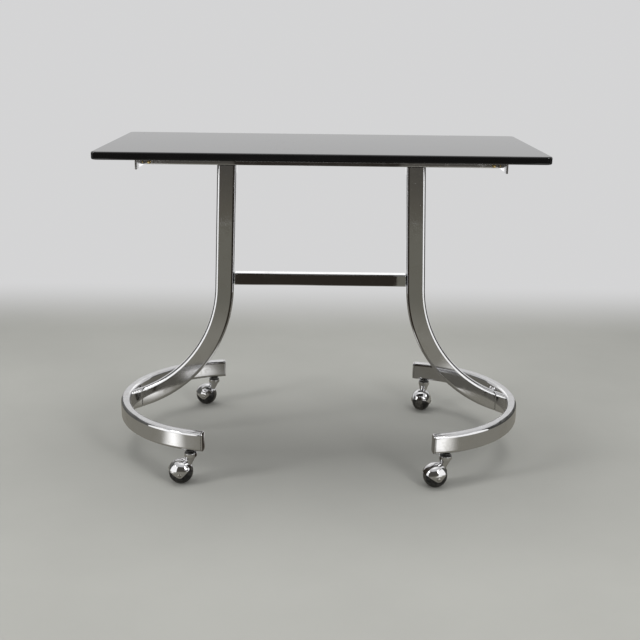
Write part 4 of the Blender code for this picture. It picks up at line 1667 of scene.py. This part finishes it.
@dataclass
class Studio:
    """Pale floor that fades into a pale surround, soft lamps, and cards that the chrome mirrors, one a
    painted floor reflection.
    """

    floor_radius: float = 14.0
    floor_colour: Colour = (0.40, 0.40, 0.375)
    mottle: float = 0.96
    wall_colour: Colour = (0.66, 0.66, 0.665)
    ambient: float = 0.42
    fade: Pair = (0.80, 1.45)
    rim_fade: Pair = (1.5, 2.6)
    lamps: tuple[SoftBox, ...] = (
        SoftBox("overhead_box", (0.0, 0.2, 2.7), (0.0, 0.1, 0.0), (2.6, 1.7), 46.0, False),
        SoftBox("left_box", (-2.3, -1.25, 1.1), (-0.2, 0.0, 0.3), (0.42, 1.9), 28.0),
        SoftBox("right_box", (1.5, -2.1, 1.2), (0.2, 0.0, 0.3), (0.6, 2.0), 30.0),
    )
    cards: tuple[MirrorCard, ...] = (
        # Painted reflection of the floor, with painted shade and painted sheens, seen by mirrors only.
        FloorCloth(
            "floor_cloth", (-180.0, 180.0), (0.0, 0.001), (2.69, 0.001),
            (0.24, 0.231, 0.200), (0.16, 0.155, 0.130), (0.8, 1.3),
        ),
        MirrorCard(
            "room_cloth", (-75.0, 75.0), (2.7, 0.0), (2.7, 2.4),
            (0.12, 0.112, 0.092), (0.078, 0.073, 0.065), (0.0, 0.3),
        ),
        MirrorCard(
            "front_cloth", (-50.0, 44.0), (0.25, 0.0), (0.25, 0.62),
            (0.03, 0.024, 0.018), (0.03, 0.026, 0.022), (0.0, 0.6),
        ),
        MirrorCard(
            "left_card", (-75.0, -36.0), (0.86, 0.0), (0.86, 0.52),
            (1.2, 1.2, 1.2), (1.2, 1.2, 1.2), (0.0, 0.5),
        ),
        MirrorCard(
            "right_card", (36.0, 75.0), (0.86, 0.0), (0.86, 0.52),
            (1.2, 1.2, 1.2), (1.2, 1.2, 1.2), (0.0, 0.5),
        ),
        MirrorCard(
            "left_cloth", (-128.0, -75.0), (0.9, 0.0), (0.9, 0.62),
            (0.10, 0.10, 0.095), (0.10, 0.10, 0.095), (0.0, 0.6),
        ),
        MirrorCard(
            "right_cloth", (75.0, 128.0), (0.9, 0.0), (0.9, 0.62),
            (0.06, 0.06, 0.056), (0.06, 0.06, 0.056), (0.0, 0.6),
        ),
        MirrorCard(
            "back_card", (150.0, 210.0), (2.2, 0.0), (2.2, 2.2),
            (0.72, 0.72, 0.725), (0.88, 0.88, 0.88), (0.5, 2.1),
        ),
        MirrorCard(
            "low_back_card", (158.0, 202.0), (1.0, 0.45), (1.0, 0.69),
            (1.35, 1.35, 1.35), (1.35, 1.35, 1.35), (0.0, 0.2),
        ),
        MirrorCard(
            "ceiling_card", (-180.0, 180.0), (0.0, 2.3), (1.5, 2.3),
            (1.3, 1.3, 1.3), (0.66, 0.66, 0.665), (0.5, 1.5),
        ),
    )
    seen_by: ClassVar[tuple[str, ...]] = ("Is Camera Ray", "Is Glossy Ray", "Is Transmission Ray")

    def seen(self, board: Board) -> Socket:
        """1 for rays from the camera, mirrors and glass, 0 for the light that falls on things."""
        path = board.node("LightPath")
        first, second, third = (path.outputs[name] for name in self.seen_by)
        return board.most(first, board.most(second, third))

    def floor(self) -> None:
        """A round floor about the origin, fading into the surround behind the table and all round."""
        ring = np.r_[0.0, np.geomspace(0.4, self.floor_radius, 16)]
        profile = np.stack([ring, np.zeros(len(ring))], axis=-1)
        floor = linked("floor", skinned("floor", turned(profile, 64), Ends.PLAIN))
        made, board = fresh_material("pale_floor")
        nodes = made.node_tree.nodes
        shader = nodes["Principled BSDF"]
        coords = board.node("TexCoord").outputs["Object"]
        patches = board.span(board.noise(coords, 3.0, 5.0, 0.6), 0.3, 0.7)
        darker = tuple(self.mottle * part for part in self.floor_colour)
        board.fill(shader, {
            "Base Color": board.blend(patches, self.floor_colour, darker),
            "Roughness": board.span(patches, 0.0, 1.0, 0.5, 0.6),
            "Specular IOR Level": 0.0,
        })
        behind = board.span(board.axis(coords, "Y"), *self.fade)
        share = board.most(behind, board.span(board.vector("LENGTH", coords), *self.rim_fade))
        share = board.share(share, self.seen(board))
        glow = board.node("Emission", {"Color": self.wall_colour, "Strength": 1.0})
        mix = board.node("MixShader", {0: share, 1: shader.outputs[0], 2: glow.outputs[0]})
        board.fill(nodes["Material Output"], {"Surface": mix.outputs[0]})
        floor.data.materials.append(made)

    def world(self) -> None:
        """An even surround: the wall's colour to the eye and in mirrors, and dimmer as light."""
        world = bpy.data.worlds.new("surround")
        world.use_nodes = True
        bpy.context.scene.world = world
        board = Board(world.node_tree)
        light = world.node_tree.nodes["Background"]
        board.fill(light, {"Color": (1.0, 1.0, 1.0), "Strength": self.ambient})
        wall = board.node("Background", {"Color": self.wall_colour, "Strength": 1.0})
        mix = board.node("MixShader", {0: self.seen(board), 1: light.outputs[0], 2: wall.outputs[0]})
        board.fill(world.node_tree.nodes["World Output"], {"Surface": mix.outputs[0]})

    def build(self) -> None:
        """Makes the floor, surround, lamps and cards, and sets plain colour handling."""
        self.floor()
        self.world()
        for thing in self.lamps + self.cards:
            thing.build()
        bpy.context.scene.view_settings.view_transform = "Standard"


def main() -> None:
    """Builds the table's parts in order, then the studio round it."""
    logging.basicConfig(level=logging.INFO, format="%(name)s: %(message)s")
    PhotoCamera().build()
    for part in (GlassTop(), TopFrame(), Legs(), Feet(), Casters()):
        part.build()
    Studio().build()


if __name__ == "__main__":
    main()
